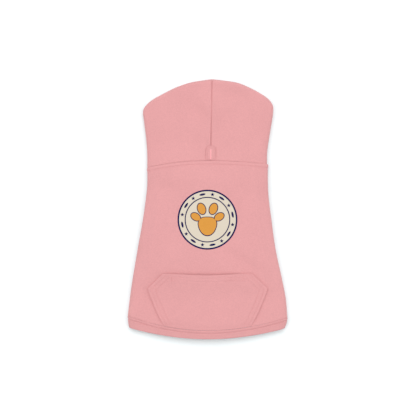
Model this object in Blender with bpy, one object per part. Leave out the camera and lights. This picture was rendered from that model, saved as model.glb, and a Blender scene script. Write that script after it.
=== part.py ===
"""Pet hoodie of sweatshirt fleece, lying flat with its back upwards and its hood spread out.

X runs across the garment, Y along it from the hem towards the crown of the hood, and Z up from
the surface that it lies on. The origin is on that surface, below the middle of the outline.
Every cloth piece is a sheet laid on one shared surface, with its wall inwards.
"""

import bisect
import math
from collections import namedtuple

import bmesh
import bpy
from mathutils import Vector

# Outline of the garment as it lies, in metres.
BODY_LENGTH = 0.304  # side of the neck seam to the corner of the hem
HEM_WIDTH = 0.303  # across the body where the hem band begins
NECK_WIDTH = 0.229  # across the neck seam
HOOD_WIDTH = 0.248  # across the hood at its widest
HOOD_SIDE_HEIGHT = 0.107  # side of the neck seam to the hood's widest place
CROWN_HEIGHT = 0.061  # widest place to the top of the crown
NECK_RISE = 0.013  # arch of the neck seam at the centre of the back
NECK_TILT = 0.0065  # how far the neck seam's right end lies above its left end
THROAT_DROP = 0.018  # scoop of the neck seam at the throat
HEM_DROP = 0.021  # how far the hem's middle hangs below its corners
BELLY_SCOOP = 0.026  # how far the belly's hem is cut back at its middle
HEM_DEPTH = 0.0228  # depth of the hem band at its corners
HEM_DEPTH_CENTRE = 0.0165  # depth of the hem band at the centre of the back
BAND_TILT = -0.0030  # how far the band seam's right end lies above its left end
HEM_TILT = -0.0015  # the same for the hem
HEM_TAPER_LEFT = 0.0025  # how far the hem draws in at each corner
HEM_TAPER_RIGHT = 0.0055
SEAM_SHIFT_NECK = 0.0055  # the hood's centre seam lies this far to the right of the middle
SEAM_SHIFT_CROWN = 0.0085

# Cloth.
CLOTH_WALL = 0.0022
HEM_WALL = 0.0040  # cloth turned up double
RIB_WALL = 0.0024
PATCH_WALL = 0.0010
SEAM_GAP = 0.0006  # between two pieces that are sewn edge to edge
BAND_GAP = 0.0008  # the same for the hem band, whose wall is thicker
LAY_GAP = 0.0003  # between two pieces that lie on each other

# How the garment lies.
SIDE_FOLD = 0.0070  # outer radius of the fold at the sides
HEM_FOLD = 0.0085  # outer radius of the fold at the sides of the hem
BODY_CROWN = 0.0075  # how far the back swells above its side folds
HOOD_CROWN = 0.0085
SIDE_TURN = 0.028  # how far the back panel turns under at each side
SIDE_SAG = 0.8  # share of the belly's lift that the side folds sink by
DENT_DEPTH = 0.0024  # depth of the deepest soft dent

# Face opening on the hood's underside.
FACE_HALF_WIDTH = 0.072
FOREHEAD_TURN = 0.045  # how far the hood turns under at the crown
SEAM_MEET = 0.56  # share of the hood's length at which the rows of the crown meet the seam

# Leash slit in the centre seam, with its patch.
PATCH_WIDTH = 0.0185
PATCH_LENGTH = 0.028
PATCH_RISE = 0.0015  # neck seam to the patch's lower edge
SLIT_WIDTH = 0.0018
SLIT_LENGTH = 0.0175
SLIT_RISE = 0.0030  # neck seam to the slit's lower end

# Pocket on the back.
POCKET_DEPTH = 0.108  # pocket mouth down to the hem band at the centre
POCKET_MOUTH_WIDTH = 0.168
POCKET_WIDTH = 0.228
POCKET_FOOT_WIDTH = 0.165
POCKET_SHOULDER = 0.029  # pocket mouth down to the pocket's widest place
POCKET_GAPE = 0.0032  # how far the pocket stands off the back at its mouth
POCKET_BOW = 0.0020  # how far each flank bulges
MOUTH_SAG = 0.0032  # how far the mouth's middle hangs down

# Sleeves, which lie folded back under the belly.
ARMHOLE_WIDTH = 0.059
ARMHOLE_LENGTH = 0.056
ARMHOLE_SETBACK = 0.018  # throat of the neck seam down to the armhole
ARMHOLE_EASE = 0.0005  # between the sleeve's edge and the armhole
SLEEVE_WIDTH = 0.066
SLEEVE_WRIST = 0.058
SLEEVE_LENGTH = 0.055
SLEEVE_THICKNESS = 0.010
SLEEVE_CLEARANCE = 0.0008  # between the sleeve and the belly above it
CUFF_LENGTH = 0.020
CUFF_WIDTH = 0.054

# Mesh steps.
TOP_STEPS = 10
FOLD_STEPS = 6
TURN_STEPS = 3
FLAP_STEPS = 4
BODY_ROWS = 24
HOOD_ROWS = 20
BAND_ROWS = 2
BELLY_HALF_STEPS = 7
BELLY_ROWS = 14
POCKET_COLUMNS = 16
SHOULDER_ROWS = 3
POCKET_ROWS = 10
PATCH_COLUMNS = 8
PATCH_ROWS = 6
LOOP_ARC_STEPS = 8
LOOP_STRAIGHT_STEPS = 3
SLEEVE_TURN_STEPS = 8
SLEEVE_RUN_STEPS = 4
CURVE_SAMPLES = 12
SEARCH_STEPS = 12

# Places worked out from the sizes.
HOOD_LENGTH = HOOD_SIDE_HEIGHT + CROWN_HEIGHT
CROWN_Y = (HOOD_LENGTH + BODY_LENGTH + HEM_DROP) / 2
NECK_Y = CROWN_Y - HOOD_LENGTH
HEM_Y = NECK_Y - BODY_LENGTH
BAND_Y = HEM_Y + HEM_DEPTH
BAND_DROP = HEM_DROP + HEM_DEPTH - HEM_DEPTH_CENTRE
THROAT_Y = NECK_Y - THROAT_DROP
BELLY_LIFT = SLEEVE_THICKNESS + SLEEVE_CLEARANCE
ARMHOLE_FRONT = THROAT_Y - ARMHOLE_SETBACK
ARMHOLE_BACK = ARMHOLE_FRONT - ARMHOLE_LENGTH
SLEEVE_CENTRE = (NECK_WIDTH / 2 - SIDE_TURN) / 2
WRIST_Y = ARMHOLE_BACK - SLEEVE_LENGTH
CUFF_END_Y = WRIST_Y - CUFF_LENGTH
LIFT_MARGIN = 3 * CLOTH_WALL
LIFT_RAMP = CUFF_END_Y - LIFT_MARGIN - BAND_Y - BELLY_SCOOP
POCKET_MOUTH_Y = BAND_Y - BAND_DROP + POCKET_DEPTH
SLIT_Y = NECK_Y + NECK_RISE + SLIT_RISE

BodyRow = namedtuple("BodyRow", "along left right")
HoodSide = namedtuple("HoodSide", "up left right")
CrownPoint = namedtuple("CrownPoint", "up left right")
Dent = namedtuple("Dent", "across along turn length width depth")
Rib = namedtuple("Rib", "tip centre bend under under_bend fold crown")
Section = namedtuple("Section", "near far half_width")

# Half-width down each side, as a share of the way from the neck's to the hem's.
BODY_OUTLINE = (
    BodyRow(along=0.00, left=0.00, right=0.00),
    BodyRow(along=0.12, left=0.00, right=0.00),
    BodyRow(along=0.23, left=0.09, right=0.05),
    BodyRow(along=0.34, left=0.21, right=0.16),
    BodyRow(along=0.55, left=0.49, right=0.39),
    BodyRow(along=0.76, left=0.76, right=0.74),
    BodyRow(along=0.88, left=0.89, right=0.92),
    BodyRow(along=1.00, left=1.00, right=1.00),
)

# Half-width up each side of the hood, as a share of the way from the neck's to the hood's.
HOOD_SIDES = (
    HoodSide(up=0.00, left=0.00, right=-0.17),
    HoodSide(up=0.24, left=0.01, right=-0.11),
    HoodSide(up=0.52, left=0.24, right=0.31),
    HoodSide(up=0.84, left=0.69, right=0.87),
    HoodSide(up=1.00, left=0.86, right=1.08),
)

# Outline of the crown: height as a share of the crown's, reach as a share of half the hood.
CROWN_OUTLINE = (
    CrownPoint(up=0.19, left=0.940, right=0.998),
    CrownPoint(up=0.38, left=0.826, right=0.932),
    CrownPoint(up=0.56, left=0.664, right=0.805),
    CrownPoint(up=0.75, left=0.472, right=0.628),
    CrownPoint(up=0.90, left=0.245, right=0.430),
)

# Soft dents: place as shares of half the hem's width and half the whole length, turn in
# degrees from X, size as shares of the hem's width, depth as a share of the deepest.
DENTS = (
    Dent(across=0.41, along=-0.41, turn=-30, length=0.17, width=0.055, depth=1.0),
    Dent(across=0.22, along=-0.22, turn=-20, length=0.20, width=0.080, depth=0.4),
    Dent(across=-0.80, along=-0.74, turn=80, length=0.16, width=0.070, depth=0.5),
    Dent(across=0.16, along=-0.72, turn=70, length=0.20, width=0.090, depth=0.4),
    Dent(across=-0.60, along=0.16, turn=-15, length=0.12, width=0.060, depth=0.6),
    Dent(across=-0.12, along=0.74, turn=-60, length=0.10, width=0.050, depth=0.8),
    Dent(across=0.18, along=0.64, turn=62, length=0.09, width=0.050, depth=0.6),
    Dent(across=0.28, along=0.91, turn=-22, length=0.13, width=0.050, depth=0.5),
)

FLEECE_PINK = (0.805, 0.386, 0.386, 1.0)
RIB_PINK = (0.765, 0.350, 0.350, 1.0)
CLOTH_ROUGHNESS = 0.92


def mix(start, end, share):
    return start + (end - start) * share


def smooth(share):
    share = min(1.0, max(0.0, share))
    return share * share * (3 - 2 * share)


def table_value(rows, key, column, place):
    """A column of a table, read smoothly at a place between its rows."""
    keys = [getattr(row, key) for row in rows]
    values = [getattr(row, column) for row in rows]
    last = len(rows) - 1
    slopes = []
    for i in range(last + 1):
        before, after = max(0, i - 1), min(last, i + 1)
        slopes.append((values[after] - values[before]) / (keys[after] - keys[before]))
    i = min(last - 1, max(0, bisect.bisect_right(keys, place) - 1))
    span = keys[i + 1] - keys[i]
    t = min(1.0, max(0.0, (place - keys[i]) / span))
    pull = span * t * (1 - t) * ((1 - t) * slopes[i] - t * slopes[i + 1])
    return mix(values[i], values[i + 1], smooth(t)) + pull


class Outline:
    """A smooth curve through points of the plane, read by its share of length."""

    def __init__(self, knots):
        self.points = [knots[0]]
        last = len(knots) - 1
        for i in range(last):
            pull_in = (knots[i + 1] - knots[max(0, i - 1)]) / (2 if i > 0 else 1)
            pull_out = (knots[min(last, i + 2)] - knots[i]) / (2 if i + 1 < last else 1)
            for step in range(1, CURVE_SAMPLES + 1):
                t = step / CURVE_SAMPLES
                pull = t * (1 - t) * ((1 - t) * pull_in - t * pull_out)
                self.points.append(mix(knots[i], knots[i + 1], smooth(t)) + pull)
        self.lengths = [0.0]
        for start, end in zip(self.points, self.points[1:]):
            self.lengths.append(self.lengths[-1] + (end - start).length)

    def at(self, share):
        length = share * self.lengths[-1]
        i = bisect.bisect_right(self.lengths, length) - 1
        i = min(len(self.points) - 2, max(0, i))
        t = (length - self.lengths[i]) / (self.lengths[i + 1] - self.lengths[i])
        return mix(self.points[i], self.points[i + 1], t)

    def direction(self, share):
        step = 1 / len(self.points)
        ahead = self.at(min(1.0, share + step))
        return (ahead - self.at(max(0.0, share - step))).normalized()


def lift(y):
    """Height at which the folded sleeves hold the belly."""
    rear = smooth((y - CUFF_END_Y + LIFT_MARGIN + LIFT_RAMP) / LIFT_RAMP)
    front = smooth((ARMHOLE_FRONT + LIFT_MARGIN + LIFT_RAMP - y) / LIFT_RAMP)
    return BELLY_LIFT * rear * front


def under_height(y, inset):
    """Height of the underside, whose side folds sink beside the sleeves."""
    return lift(y) * (1 - SIDE_SAG * (1 - smooth(inset / SIDE_TURN)))


def dents(x, y):
    """Depth of the soft dents at a place on the upper side."""
    total = 0.0
    for dent in DENTS:
        away_x = x - dent.across * HEM_WIDTH / 2
        away_y = y - dent.along * CROWN_Y
        turn = math.radians(dent.turn)
        run = (away_x * math.cos(turn) + away_y * math.sin(turn)) / (dent.length * HEM_WIDTH)
        off = (away_y * math.cos(turn) - away_x * math.sin(turn)) / (dent.width * HEM_WIDTH)
        total += dent.depth * math.exp(-run * run - off * off)
    return DENT_DEPTH * total


def bent(start, bend, end, share):
    return mix(mix(start, bend, share), mix(bend, end, share), share)


def upper_height(flat, inset, length, fold, crown):
    """Height of the upper side, which swells from its side fold up to the middle."""
    from_middle = (length - inset) / (length - fold)
    swell = crown * (1 - from_middle**2) ** 2
    sunk = dents(flat.x, flat.y) * smooth((inset - fold) / SIDE_TURN)
    return under_height(flat.y, inset) + 2 * fold + swell - sunk


def top_point(rib, inset):
    """A point of the upper side, inset from the rib's tip towards the middle."""
    length = (rib.centre - rib.tip).length
    flat = bent(rib.tip, rib.bend, rib.centre, inset / length)
    return Vector((flat.x, flat.y, upper_height(flat, inset, length, rib.fold, rib.crown)))


def fold_point(rib, turn):
    """A point of the fold: turn is 0 at its upper end and 1 at its lower end."""
    angle = (0.5 - turn) * math.pi
    inset = rib.fold * (1 - math.cos(angle))
    end, bend = (rib.centre, rib.bend) if turn < 0.5 else (rib.under, rib.under_bend)
    flat = bent(rib.tip, bend, end, inset / (end - rib.tip).length)
    height = under_height(flat.y, inset) + rib.fold * (1 + math.sin(angle))
    return Vector((flat.x, flat.y, height))


def under_point(rib, inset):
    """A point of the underside, inset from the rib's tip towards the middle."""
    flat = bent(rib.tip, rib.under_bend, rib.under, inset / (rib.under - rib.tip).length)
    return Vector((flat.x, flat.y, under_height(flat.y, inset)))


def half_row(rib, turn_under, under_steps):
    """Points of a rib from the middle of the back, round the side and back underneath."""
    length = (rib.centre - rib.tip).length
    row = []
    for step in range(TOP_STEPS):
        row.append(top_point(rib, mix(length, rib.fold, step / TOP_STEPS)))
    for step in range(FOLD_STEPS):
        row.append(fold_point(rib, step / FOLD_STEPS))
    for step in range(under_steps + 1):
        row.append(under_point(rib, mix(rib.fold, turn_under, step / under_steps)))
    return row


def parabola_end(tip, x, rise):
    return Vector((x, tip.y + rise * (1 - (x / tip.x) ** 2)))


def parabola_bend(tip, end, rise):
    """Bend of the arch that rises by this much at X zero, between its tip and its end."""
    return Vector(((tip.x + end.x) / 2, tip.y + rise * abs((end.x - tip.x) / tip.x)))


def side_rib(tip, rise, under_rise, fold):
    """A rib of the body, from the middle of the back round a side to the middle of the belly."""
    centre = parabola_end(tip, 0.0, rise)
    under = parabola_end(tip, 0.0, under_rise)
    bend = parabola_bend(tip, centre, rise)
    under_bend = parabola_bend(tip, under, under_rise)
    return Rib(tip, centre, bend, under, under_bend, fold, BODY_CROWN)


def tilt(side, amount):
    """How far an edge's right end is raised; its left end stays."""
    return amount if side > 0 else 0.0


def body_rib(side, along):
    """along is 0 at the neck seam and 1 at the hem band."""
    neck, band = tilt(side, NECK_TILT), tilt(side, BAND_TILT)
    share = table_value(BODY_OUTLINE, "along", "left" if side < 0 else "right", along)
    half_width = mix(NECK_WIDTH, HEM_WIDTH, share) / 2
    tip = Vector((side * half_width, mix(NECK_Y + neck, BAND_Y + band, along)))
    rise = mix(NECK_RISE - neck, -BAND_DROP - band, along)
    under_rise = mix(-THROAT_DROP - neck, BELLY_SCOOP - band, along)
    return side_rib(tip, rise, under_rise, mix(SIDE_FOLD, HEM_FOLD, smooth(2 * along - 1)))


def hem_rib(side, down):
    """down is 0 at the hem band's seam and 1 at the hem."""
    taper = HEM_TAPER_LEFT if side < 0 else HEM_TAPER_RIGHT
    half_width = HEM_WIDTH / 2 - taper * down * down
    turned = tilt(side, mix(BAND_TILT, HEM_TILT, down))
    tip = Vector((side * half_width, mix(BAND_Y, HEM_Y, down) + turned))
    rise = mix(-BAND_DROP, -HEM_DROP, down) - turned
    return side_rib(tip, rise, BELLY_SCOOP - turned, HEM_FOLD)


def seam_x(y):
    """Where the hood's centre seam runs."""
    return mix(SEAM_SHIFT_NECK, SEAM_SHIFT_CROWN, (y - NECK_Y) / HOOD_LENGTH)


def hood_outline(side):
    column = "left" if side < 0 else "right"
    knots = []
    for row in HOOD_SIDES:
        reach = mix(NECK_WIDTH, HOOD_WIDTH, getattr(row, column)) / 2
        height = mix(tilt(side, NECK_TILT), HOOD_SIDE_HEIGHT, row.up)
        knots.append(Vector((side * reach, NECK_Y + height)))
    for row in CROWN_OUTLINE:
        reach = getattr(row, column) * HOOD_WIDTH / 2
        knots.append(Vector((side * reach, CROWN_Y - (1 - row.up) * CROWN_HEIGHT)))
    knots.append(Vector((seam_x(CROWN_Y) + side * SEAM_GAP / 2, CROWN_Y)))
    return Outline(knots)


def face_rim(side, share):
    """The edge of the face opening, from the throat to the forehead."""
    turn = math.pi * share
    middle = seam_x(CROWN_Y) * share + side * SEAM_GAP / 2
    x = middle + side * FACE_HALF_WIDTH * math.sin(turn)
    y = mix(THROAT_Y, CROWN_Y - FOREHEAD_TURN, math.sin(turn / 2))
    return Vector((x, y))


def hood_bend(tip, end, rise, inward, share):
    """A rib of the hood follows the neck's arch below, and higher up leaves its tip more squarely."""
    straight = (tip + end) / 2
    square = tip + inward * (end - tip).length / 2
    leaning = mix(straight, square, 0.3 * smooth((1 - share) / 0.2))
    return mix(parabola_bend(tip, end, rise), leaning, smooth(share / 0.3))


def hood_rib(side, outline, share):
    """share is 0 at the neck seam and 1 at the crown."""
    tip = outline.at(share)
    along = outline.direction(share)
    inward = Vector((-side * along.y, side * along.x))
    start_x = seam_x(NECK_Y) + side * SEAM_GAP / 2
    turned = tilt(side, NECK_TILT)
    rise = NECK_RISE - turned
    start = parabola_end(outline.at(0), start_x, rise)
    centre_y = mix(start.y, NECK_Y + SEAM_MEET * HOOD_LENGTH, share)
    centre = Vector((seam_x(centre_y) + side * SEAM_GAP / 2, centre_y))
    under = face_rim(side, share)
    bend = hood_bend(tip, centre, rise, inward, share)
    under_bend = hood_bend(tip, under, -THROAT_DROP - turned, inward, share)
    crown = mix(BODY_CROWN, HOOD_CROWN, smooth(share))
    return Rib(tip, centre, bend, under, under_bend, SIDE_FOLD, crown)


def back_height(x, y):
    """Height of the back's upper side, on the rib that passes through this place."""
    side = -1 if x < 0 else 1
    neck, band = tilt(side, NECK_TILT), tilt(side, BAND_TILT)
    start, end = NECK_Y + neck, BAND_Y + band
    along = 0.5
    for _ in range(SEARCH_STEPS):
        half_width = abs(body_rib(side, along).tip.x)
        rise = mix(NECK_RISE - neck, -BAND_DROP - band, along)
        along = (start + rise * (1 - (x / half_width) ** 2) - y) / (start - end)
    rib = body_rib(side, along)
    length = (rib.centre - rib.tip).length
    inset = length * (1 - x / rib.tip.x)
    return upper_height(Vector((x, y)), inset, length, rib.fold, rib.crown)


def seam_height(x, y, outlines):
    """Height of the hood's upper side close to its centre seam."""
    side = -1 if x < seam_x(y) else 1
    first = hood_rib(side, outlines[side], 0).centre.y
    last = hood_rib(side, outlines[side], 1).centre.y
    rib = hood_rib(side, outlines[side], (y - first) / (last - first))
    length = (rib.centre - rib.tip).length
    inset = length - abs(x - seam_x(y))
    return upper_height(Vector((x, y)), inset, length, rib.fold, rib.crown)


def cloth_material(name, colour):
    material = bpy.data.materials.new(name)
    material.use_nodes = True
    shader = material.node_tree.nodes["Principled BSDF"]
    shader.inputs["Base Color"].default_value = colour
    shader.inputs["Roughness"].default_value = CLOTH_ROUGHNESS
    shader.inputs["Metallic"].default_value = 0.0
    return material


def cloth_piece(name, rows, wall, colour, closed=False):
    """A grid of points given as rows, each left to right as seen from outside, with its wall."""
    mesh = bmesh.new()
    columns = len(rows[0]) - 1
    steps = len(rows) - 1
    bmesh.ops.create_grid(mesh, x_segments=columns, y_segments=steps, size=1)
    for vert in mesh.verts:
        column = round((vert.co.x + 1) / 2 * columns)
        row = round((vert.co.y + 1) / 2 * steps)
        vert.co = rows[row][column]
    if closed:
        bmesh.ops.remove_doubles(mesh, verts=mesh.verts, dist=LAY_GAP / 10)
    piece = new_object(name, mesh)
    piece.data.materials.append(cloth_material(name + "_cloth", colour))
    piece.data.shade_smooth()
    solid = piece.modifiers.new("Wall", "SOLIDIFY")
    solid.thickness = wall
    solid.offset = -1
    return piece


def new_object(name, mesh):
    data = bpy.data.meshes.new(name)
    mesh.to_mesh(data)
    mesh.free()
    piece = bpy.data.objects.new(name, data)
    bpy.context.scene.collection.objects.link(piece)
    return piece


def cut_with(piece, cutter):
    cutter.hide_render = True
    cutter.display_type = "WIRE"
    boolean = piece.modifiers.new("Cut " + cutter.name, "BOOLEAN")
    boolean.operation = "DIFFERENCE"
    boolean.object = cutter


def make_back_panel():
    start = SEAM_GAP / (NECK_Y - BAND_Y)
    rows = []
    for step in range(BODY_ROWS + 1):
        along = mix(1.0, start, step / BODY_ROWS)
        left = half_row(body_rib(-1, along), SIDE_TURN, TURN_STEPS)
        right = half_row(body_rib(1, along), SIDE_TURN, TURN_STEPS)
        rows.append(left[::-1] + right[1:])
    return cloth_piece("back_panel", rows, CLOTH_WALL, FLEECE_PINK)


def belly_half(rib):
    """Points of the belly from its edge beside the back panel's turn to its middle."""
    length = (rib.under - rib.tip).length
    row = []
    for step in range(BELLY_HALF_STEPS + 1):
        share = step / BELLY_HALF_STEPS
        row.append(under_point(rib, mix(SIDE_TURN + SEAM_GAP, length, share)))
    return row


def loop_points(half_width, half_depth):
    """A flattened loop, as pairs across and down, from the middle of its right-hand end."""
    end_reach = min(half_depth, 0.9 * half_width)
    straight = half_width - end_reach
    points = []
    for side in (1, -1):
        for step in range(LOOP_ARC_STEPS + 1):
            angle = math.pi * (step / LOOP_ARC_STEPS - 0.5)
            across = side * (straight + end_reach * math.cos(angle))
            points.append((across, -side * half_depth * math.sin(angle)))
        for step in range(1, LOOP_STRAIGHT_STEPS):
            across = side * mix(straight, -straight, step / LOOP_STRAIGHT_STEPS)
            points.append((across, -side * half_depth))
    return points


def make_armhole_cutter(side):
    mesh = bmesh.new()
    middle_y = (ARMHOLE_FRONT + ARMHOLE_BACK) / 2
    verts = []
    for across, down in loop_points(ARMHOLE_WIDTH / 2, ARMHOLE_LENGTH / 2):
        place = (side * SLEEVE_CENTRE + across, middle_y + down, BELLY_LIFT - CLOTH_WALL)
        verts.append(mesh.verts.new(place))
    face = mesh.faces.new(verts)
    walls = bmesh.ops.extrude_face_region(mesh, geom=[face])
    top = [item for item in walls["geom"] if isinstance(item, bmesh.types.BMVert)]
    bmesh.ops.translate(mesh, verts=top, vec=(0, 0, 3 * CLOTH_WALL))
    bmesh.ops.recalc_face_normals(mesh, faces=mesh.faces)
    return new_object("armhole_cutter_" + ("left" if side < 0 else "right"), mesh)


def make_belly_panel():
    start = SEAM_GAP / (NECK_Y - BAND_Y)
    rows = []
    for step in range(BELLY_ROWS + 1):
        along = mix(1.0, start, step / BELLY_ROWS)
        left = belly_half(body_rib(-1, along))
        right = belly_half(body_rib(1, along))
        rows.append(right + left[-2::-1])
    piece = cloth_piece("belly_panel", rows, CLOTH_WALL, FLEECE_PINK)
    for side in (-1, 1):
        cut_with(piece, make_armhole_cutter(side))
    return piece


def make_hem_band():
    start = BAND_GAP / HEM_DEPTH
    rows = []
    for step in range(BAND_ROWS + 1):
        down = mix(1.0, start, step / BAND_ROWS)
        halves = []
        for side in (-1, 1):
            rib = hem_rib(side, down)
            halves.append(half_row(rib, (rib.under - rib.tip).length, BELLY_HALF_STEPS))
        rows.append(halves[0][::-1] + halves[1][1:])
    return cloth_piece("hem_band", rows, HEM_WALL, FLEECE_PINK, closed=True)


def make_slit_cutter(outlines):
    """A thin bar along the centre seam that cuts the slit through cloth and patch."""
    middle_y = SLIT_Y + SLIT_LENGTH / 2
    height = seam_height(seam_x(middle_y), middle_y, outlines)
    mesh = bmesh.new()
    bmesh.ops.create_cube(mesh, size=1)
    bmesh.ops.scale(mesh, verts=mesh.verts, vec=(SLIT_WIDTH, SLIT_LENGTH, 6 * CLOTH_WALL))
    bmesh.ops.translate(mesh, verts=mesh.verts, vec=(seam_x(middle_y), middle_y, height))
    return new_object("slit_cutter", mesh)


def make_hood_half(side, outline, slit_cutter):
    rows = []
    for step in range(HOOD_ROWS + 1):
        rib = hood_rib(side, outline, step / HOOD_ROWS)
        row = half_row(rib, (rib.under - rib.tip).length, FLAP_STEPS)
        rows.append(row if side > 0 else row[::-1])
    name = "hood_left" if side < 0 else "hood_right"
    piece = cloth_piece(name, rows, CLOTH_WALL, FLEECE_PINK)
    cut_with(piece, slit_cutter)
    return piece


def make_leash_patch(outlines, slit_cutter):
    """An arch of cloth round the slit, on both halves of the hood."""
    foot_y = NECK_Y + NECK_RISE + PATCH_RISE
    reach = PATCH_WIDTH / 2
    rows = []
    for step in range(PATCH_ROWS + 1):
        row = []
        for column in range(PATCH_COLUMNS + 1):
            across = reach * (2 * column / PATCH_COLUMNS - 1)
            top = PATCH_LENGTH - reach + math.sqrt(max(0.0, reach**2 - across**2))
            y = foot_y + top * step / PATCH_ROWS
            x = seam_x(y) + across
            height = seam_height(x, y, outlines) + LAY_GAP + PATCH_WALL
            row.append(Vector((x, y, height)))
        rows.append(row)
    piece = cloth_piece("leash_patch", rows, PATCH_WALL, FLEECE_PINK)
    cut_with(piece, slit_cutter)
    return piece


def pocket_foot(x):
    """Where the pocket's foot meets the hem band."""
    band = tilt(x, BAND_TILT)
    return BAND_Y + band - (BAND_DROP + band) * (1 - (2 * x / HEM_WIDTH) ** 2) + SEAM_GAP


def make_pocket():
    shoulder = POCKET_SHOULDER / (POCKET_MOUTH_Y - pocket_foot(POCKET_WIDTH / 2))
    rows = []
    for step in range(POCKET_ROWS + 1):
        if step <= SHOULDER_ROWS:
            share = step / SHOULDER_ROWS
            down = shoulder * share
            reach = mix(POCKET_MOUTH_WIDTH, POCKET_WIDTH, share) / 2
        else:
            share = (step - SHOULDER_ROWS) / (POCKET_ROWS - SHOULDER_ROWS)
            down = mix(shoulder, 1.0, share)
            bow = 4 * POCKET_BOW * share * (1 - share)
            reach = mix(POCKET_WIDTH, POCKET_FOOT_WIDTH, share) / 2 + bow
        row = []
        for column in range(POCKET_COLUMNS + 1):
            across = 2 * column / POCKET_COLUMNS - 1
            x = across * reach
            sag = MOUTH_SAG * max(0.0, 1 - (2 * x / POCKET_MOUTH_WIDTH) ** 2) ** 2
            y = mix(POCKET_MOUTH_Y - sag, pocket_foot(x), down)
            gape = POCKET_GAPE * (1 - across**2) ** 2 * (1 - smooth(down))
            row.append(Vector((x, y, back_height(x, y) + LAY_GAP + gape + CLOTH_WALL)))
        rows.append(row)
    return cloth_piece("pocket", rows[::-1], CLOTH_WALL, FLEECE_PINK)


def sleeve_sections():
    """Sections of a sleeve that leaves its armhole downwards and turns back under the belly."""
    bend = ARMHOLE_EASE + SLEEVE_CLEARANCE
    pivot = Vector((ARMHOLE_BACK - SLEEVE_CLEARANCE, BELLY_LIFT + ARMHOLE_EASE))
    drop = pivot.y
    front = ARMHOLE_FRONT - ARMHOLE_EASE
    sections = []
    for step in range(SLEEVE_TURN_STEPS + 1):
        share = step / SLEEVE_TURN_STEPS
        angle = share * math.pi / 2
        near = pivot + bend * Vector((math.cos(angle), -math.sin(angle)))
        turn = min(1.0, 2 * share) * math.pi / 2
        run = max(0.0, 2 * share - 1)
        bottom = front - drop * (1 - math.cos(turn))
        far = Vector((mix(bottom, pivot.x, run), drop * (1 - math.sin(turn))))
        half_width = mix(ARMHOLE_WIDTH / 2 - ARMHOLE_EASE, SLEEVE_WIDTH / 2, smooth(share))
        sections.append(Section(near, far, half_width))
    for step in range(1, SLEEVE_RUN_STEPS + 1):
        share = step / SLEEVE_RUN_STEPS
        y = mix(pivot.x, WRIST_Y, share)
        half_width = mix(SLEEVE_WIDTH, SLEEVE_WRIST, share) / 2
        sections.append(Section(Vector((y, SLEEVE_THICKNESS)), Vector((y, 0.0)), half_width))
    return sections


def cuff_sections():
    sections = []
    for y in (WRIST_Y - SEAM_GAP, (WRIST_Y + CUFF_END_Y) / 2, CUFF_END_Y):
        top = Vector((y, SLEEVE_THICKNESS))
        sections.append(Section(top, Vector((y, 0.0)), CUFF_WIDTH / 2))
    return sections


def make_tube(name, side, sections, wall, colour):
    """A closed tube through flattened sections, each between a near and a far point."""
    rows = []
    for section in sections:
        middle = (section.near + section.far) / 2
        half = (section.far - section.near) / 2
        row = []
        for across, down in loop_points(section.half_width, half.length):
            place = middle + half.normalized() * down
            row.append(Vector((side * SLEEVE_CENTRE + across, place.x, place.y)))
        rows.append(row + row[:1])
    return cloth_piece(name, rows, wall, colour, closed=True)


def main():
    for item in list(bpy.data.objects):
        bpy.data.objects.remove(item, do_unlink=True)
    make_back_panel()
    make_belly_panel()
    make_hem_band()
    outlines = {side: hood_outline(side) for side in (-1, 1)}
    slit_cutter = make_slit_cutter(outlines)
    for side in (-1, 1):
        make_hood_half(side, outlines[side], slit_cutter)
    make_leash_patch(outlines, slit_cutter)
    make_pocket()
    for side, word in ((-1, "left"), (1, "right")):
        make_tube("sleeve_" + word, side, sleeve_sections(), CLOTH_WALL, FLEECE_PINK)
        make_tube("cuff_" + word, side, cuff_sections(), RIB_WALL, RIB_PINK)


main()
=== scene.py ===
"""Dresses a pet hoodie that lies flat with its back upwards: fleece, seams, stitches and a badge.

Each cloth piece is cut as a fine grid on the surface that the hoodie's solids were modelled on,
pressed in along its seams, given its wall, and stitched with threads of its own.
"""

import bisect
import math
from collections import namedtuple
from types import SimpleNamespace

import bmesh
import bpy
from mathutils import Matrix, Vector, noise
from mathutils.bvhtree import BVHTree
from mathutils.kdtree import KDTree


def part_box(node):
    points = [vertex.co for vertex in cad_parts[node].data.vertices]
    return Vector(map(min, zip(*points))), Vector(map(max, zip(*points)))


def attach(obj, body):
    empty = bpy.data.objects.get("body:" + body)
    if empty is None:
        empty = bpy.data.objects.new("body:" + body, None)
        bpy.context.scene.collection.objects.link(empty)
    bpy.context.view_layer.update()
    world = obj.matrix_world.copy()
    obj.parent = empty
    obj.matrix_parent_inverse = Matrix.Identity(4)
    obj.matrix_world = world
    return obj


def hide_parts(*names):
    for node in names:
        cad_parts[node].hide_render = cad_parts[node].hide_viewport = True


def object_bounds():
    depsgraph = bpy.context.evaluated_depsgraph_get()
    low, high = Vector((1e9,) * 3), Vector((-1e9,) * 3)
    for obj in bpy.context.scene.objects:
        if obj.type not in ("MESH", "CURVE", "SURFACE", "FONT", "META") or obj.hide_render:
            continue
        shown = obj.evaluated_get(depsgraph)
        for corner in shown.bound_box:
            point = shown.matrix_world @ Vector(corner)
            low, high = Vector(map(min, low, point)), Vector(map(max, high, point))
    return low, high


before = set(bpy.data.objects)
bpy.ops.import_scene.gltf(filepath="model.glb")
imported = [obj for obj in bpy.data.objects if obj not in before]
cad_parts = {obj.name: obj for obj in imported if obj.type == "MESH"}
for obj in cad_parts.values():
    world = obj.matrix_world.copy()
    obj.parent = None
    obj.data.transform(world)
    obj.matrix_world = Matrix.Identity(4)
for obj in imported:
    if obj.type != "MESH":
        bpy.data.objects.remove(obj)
CAD_LOW, CAD_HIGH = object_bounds()
BAND_LOW, BAND_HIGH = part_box("hem_band")
SLEEVE_LOW, SLEEVE_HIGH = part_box("sleeve_right")
CUFF_LOW, CUFF_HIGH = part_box("cuff_right")

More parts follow.
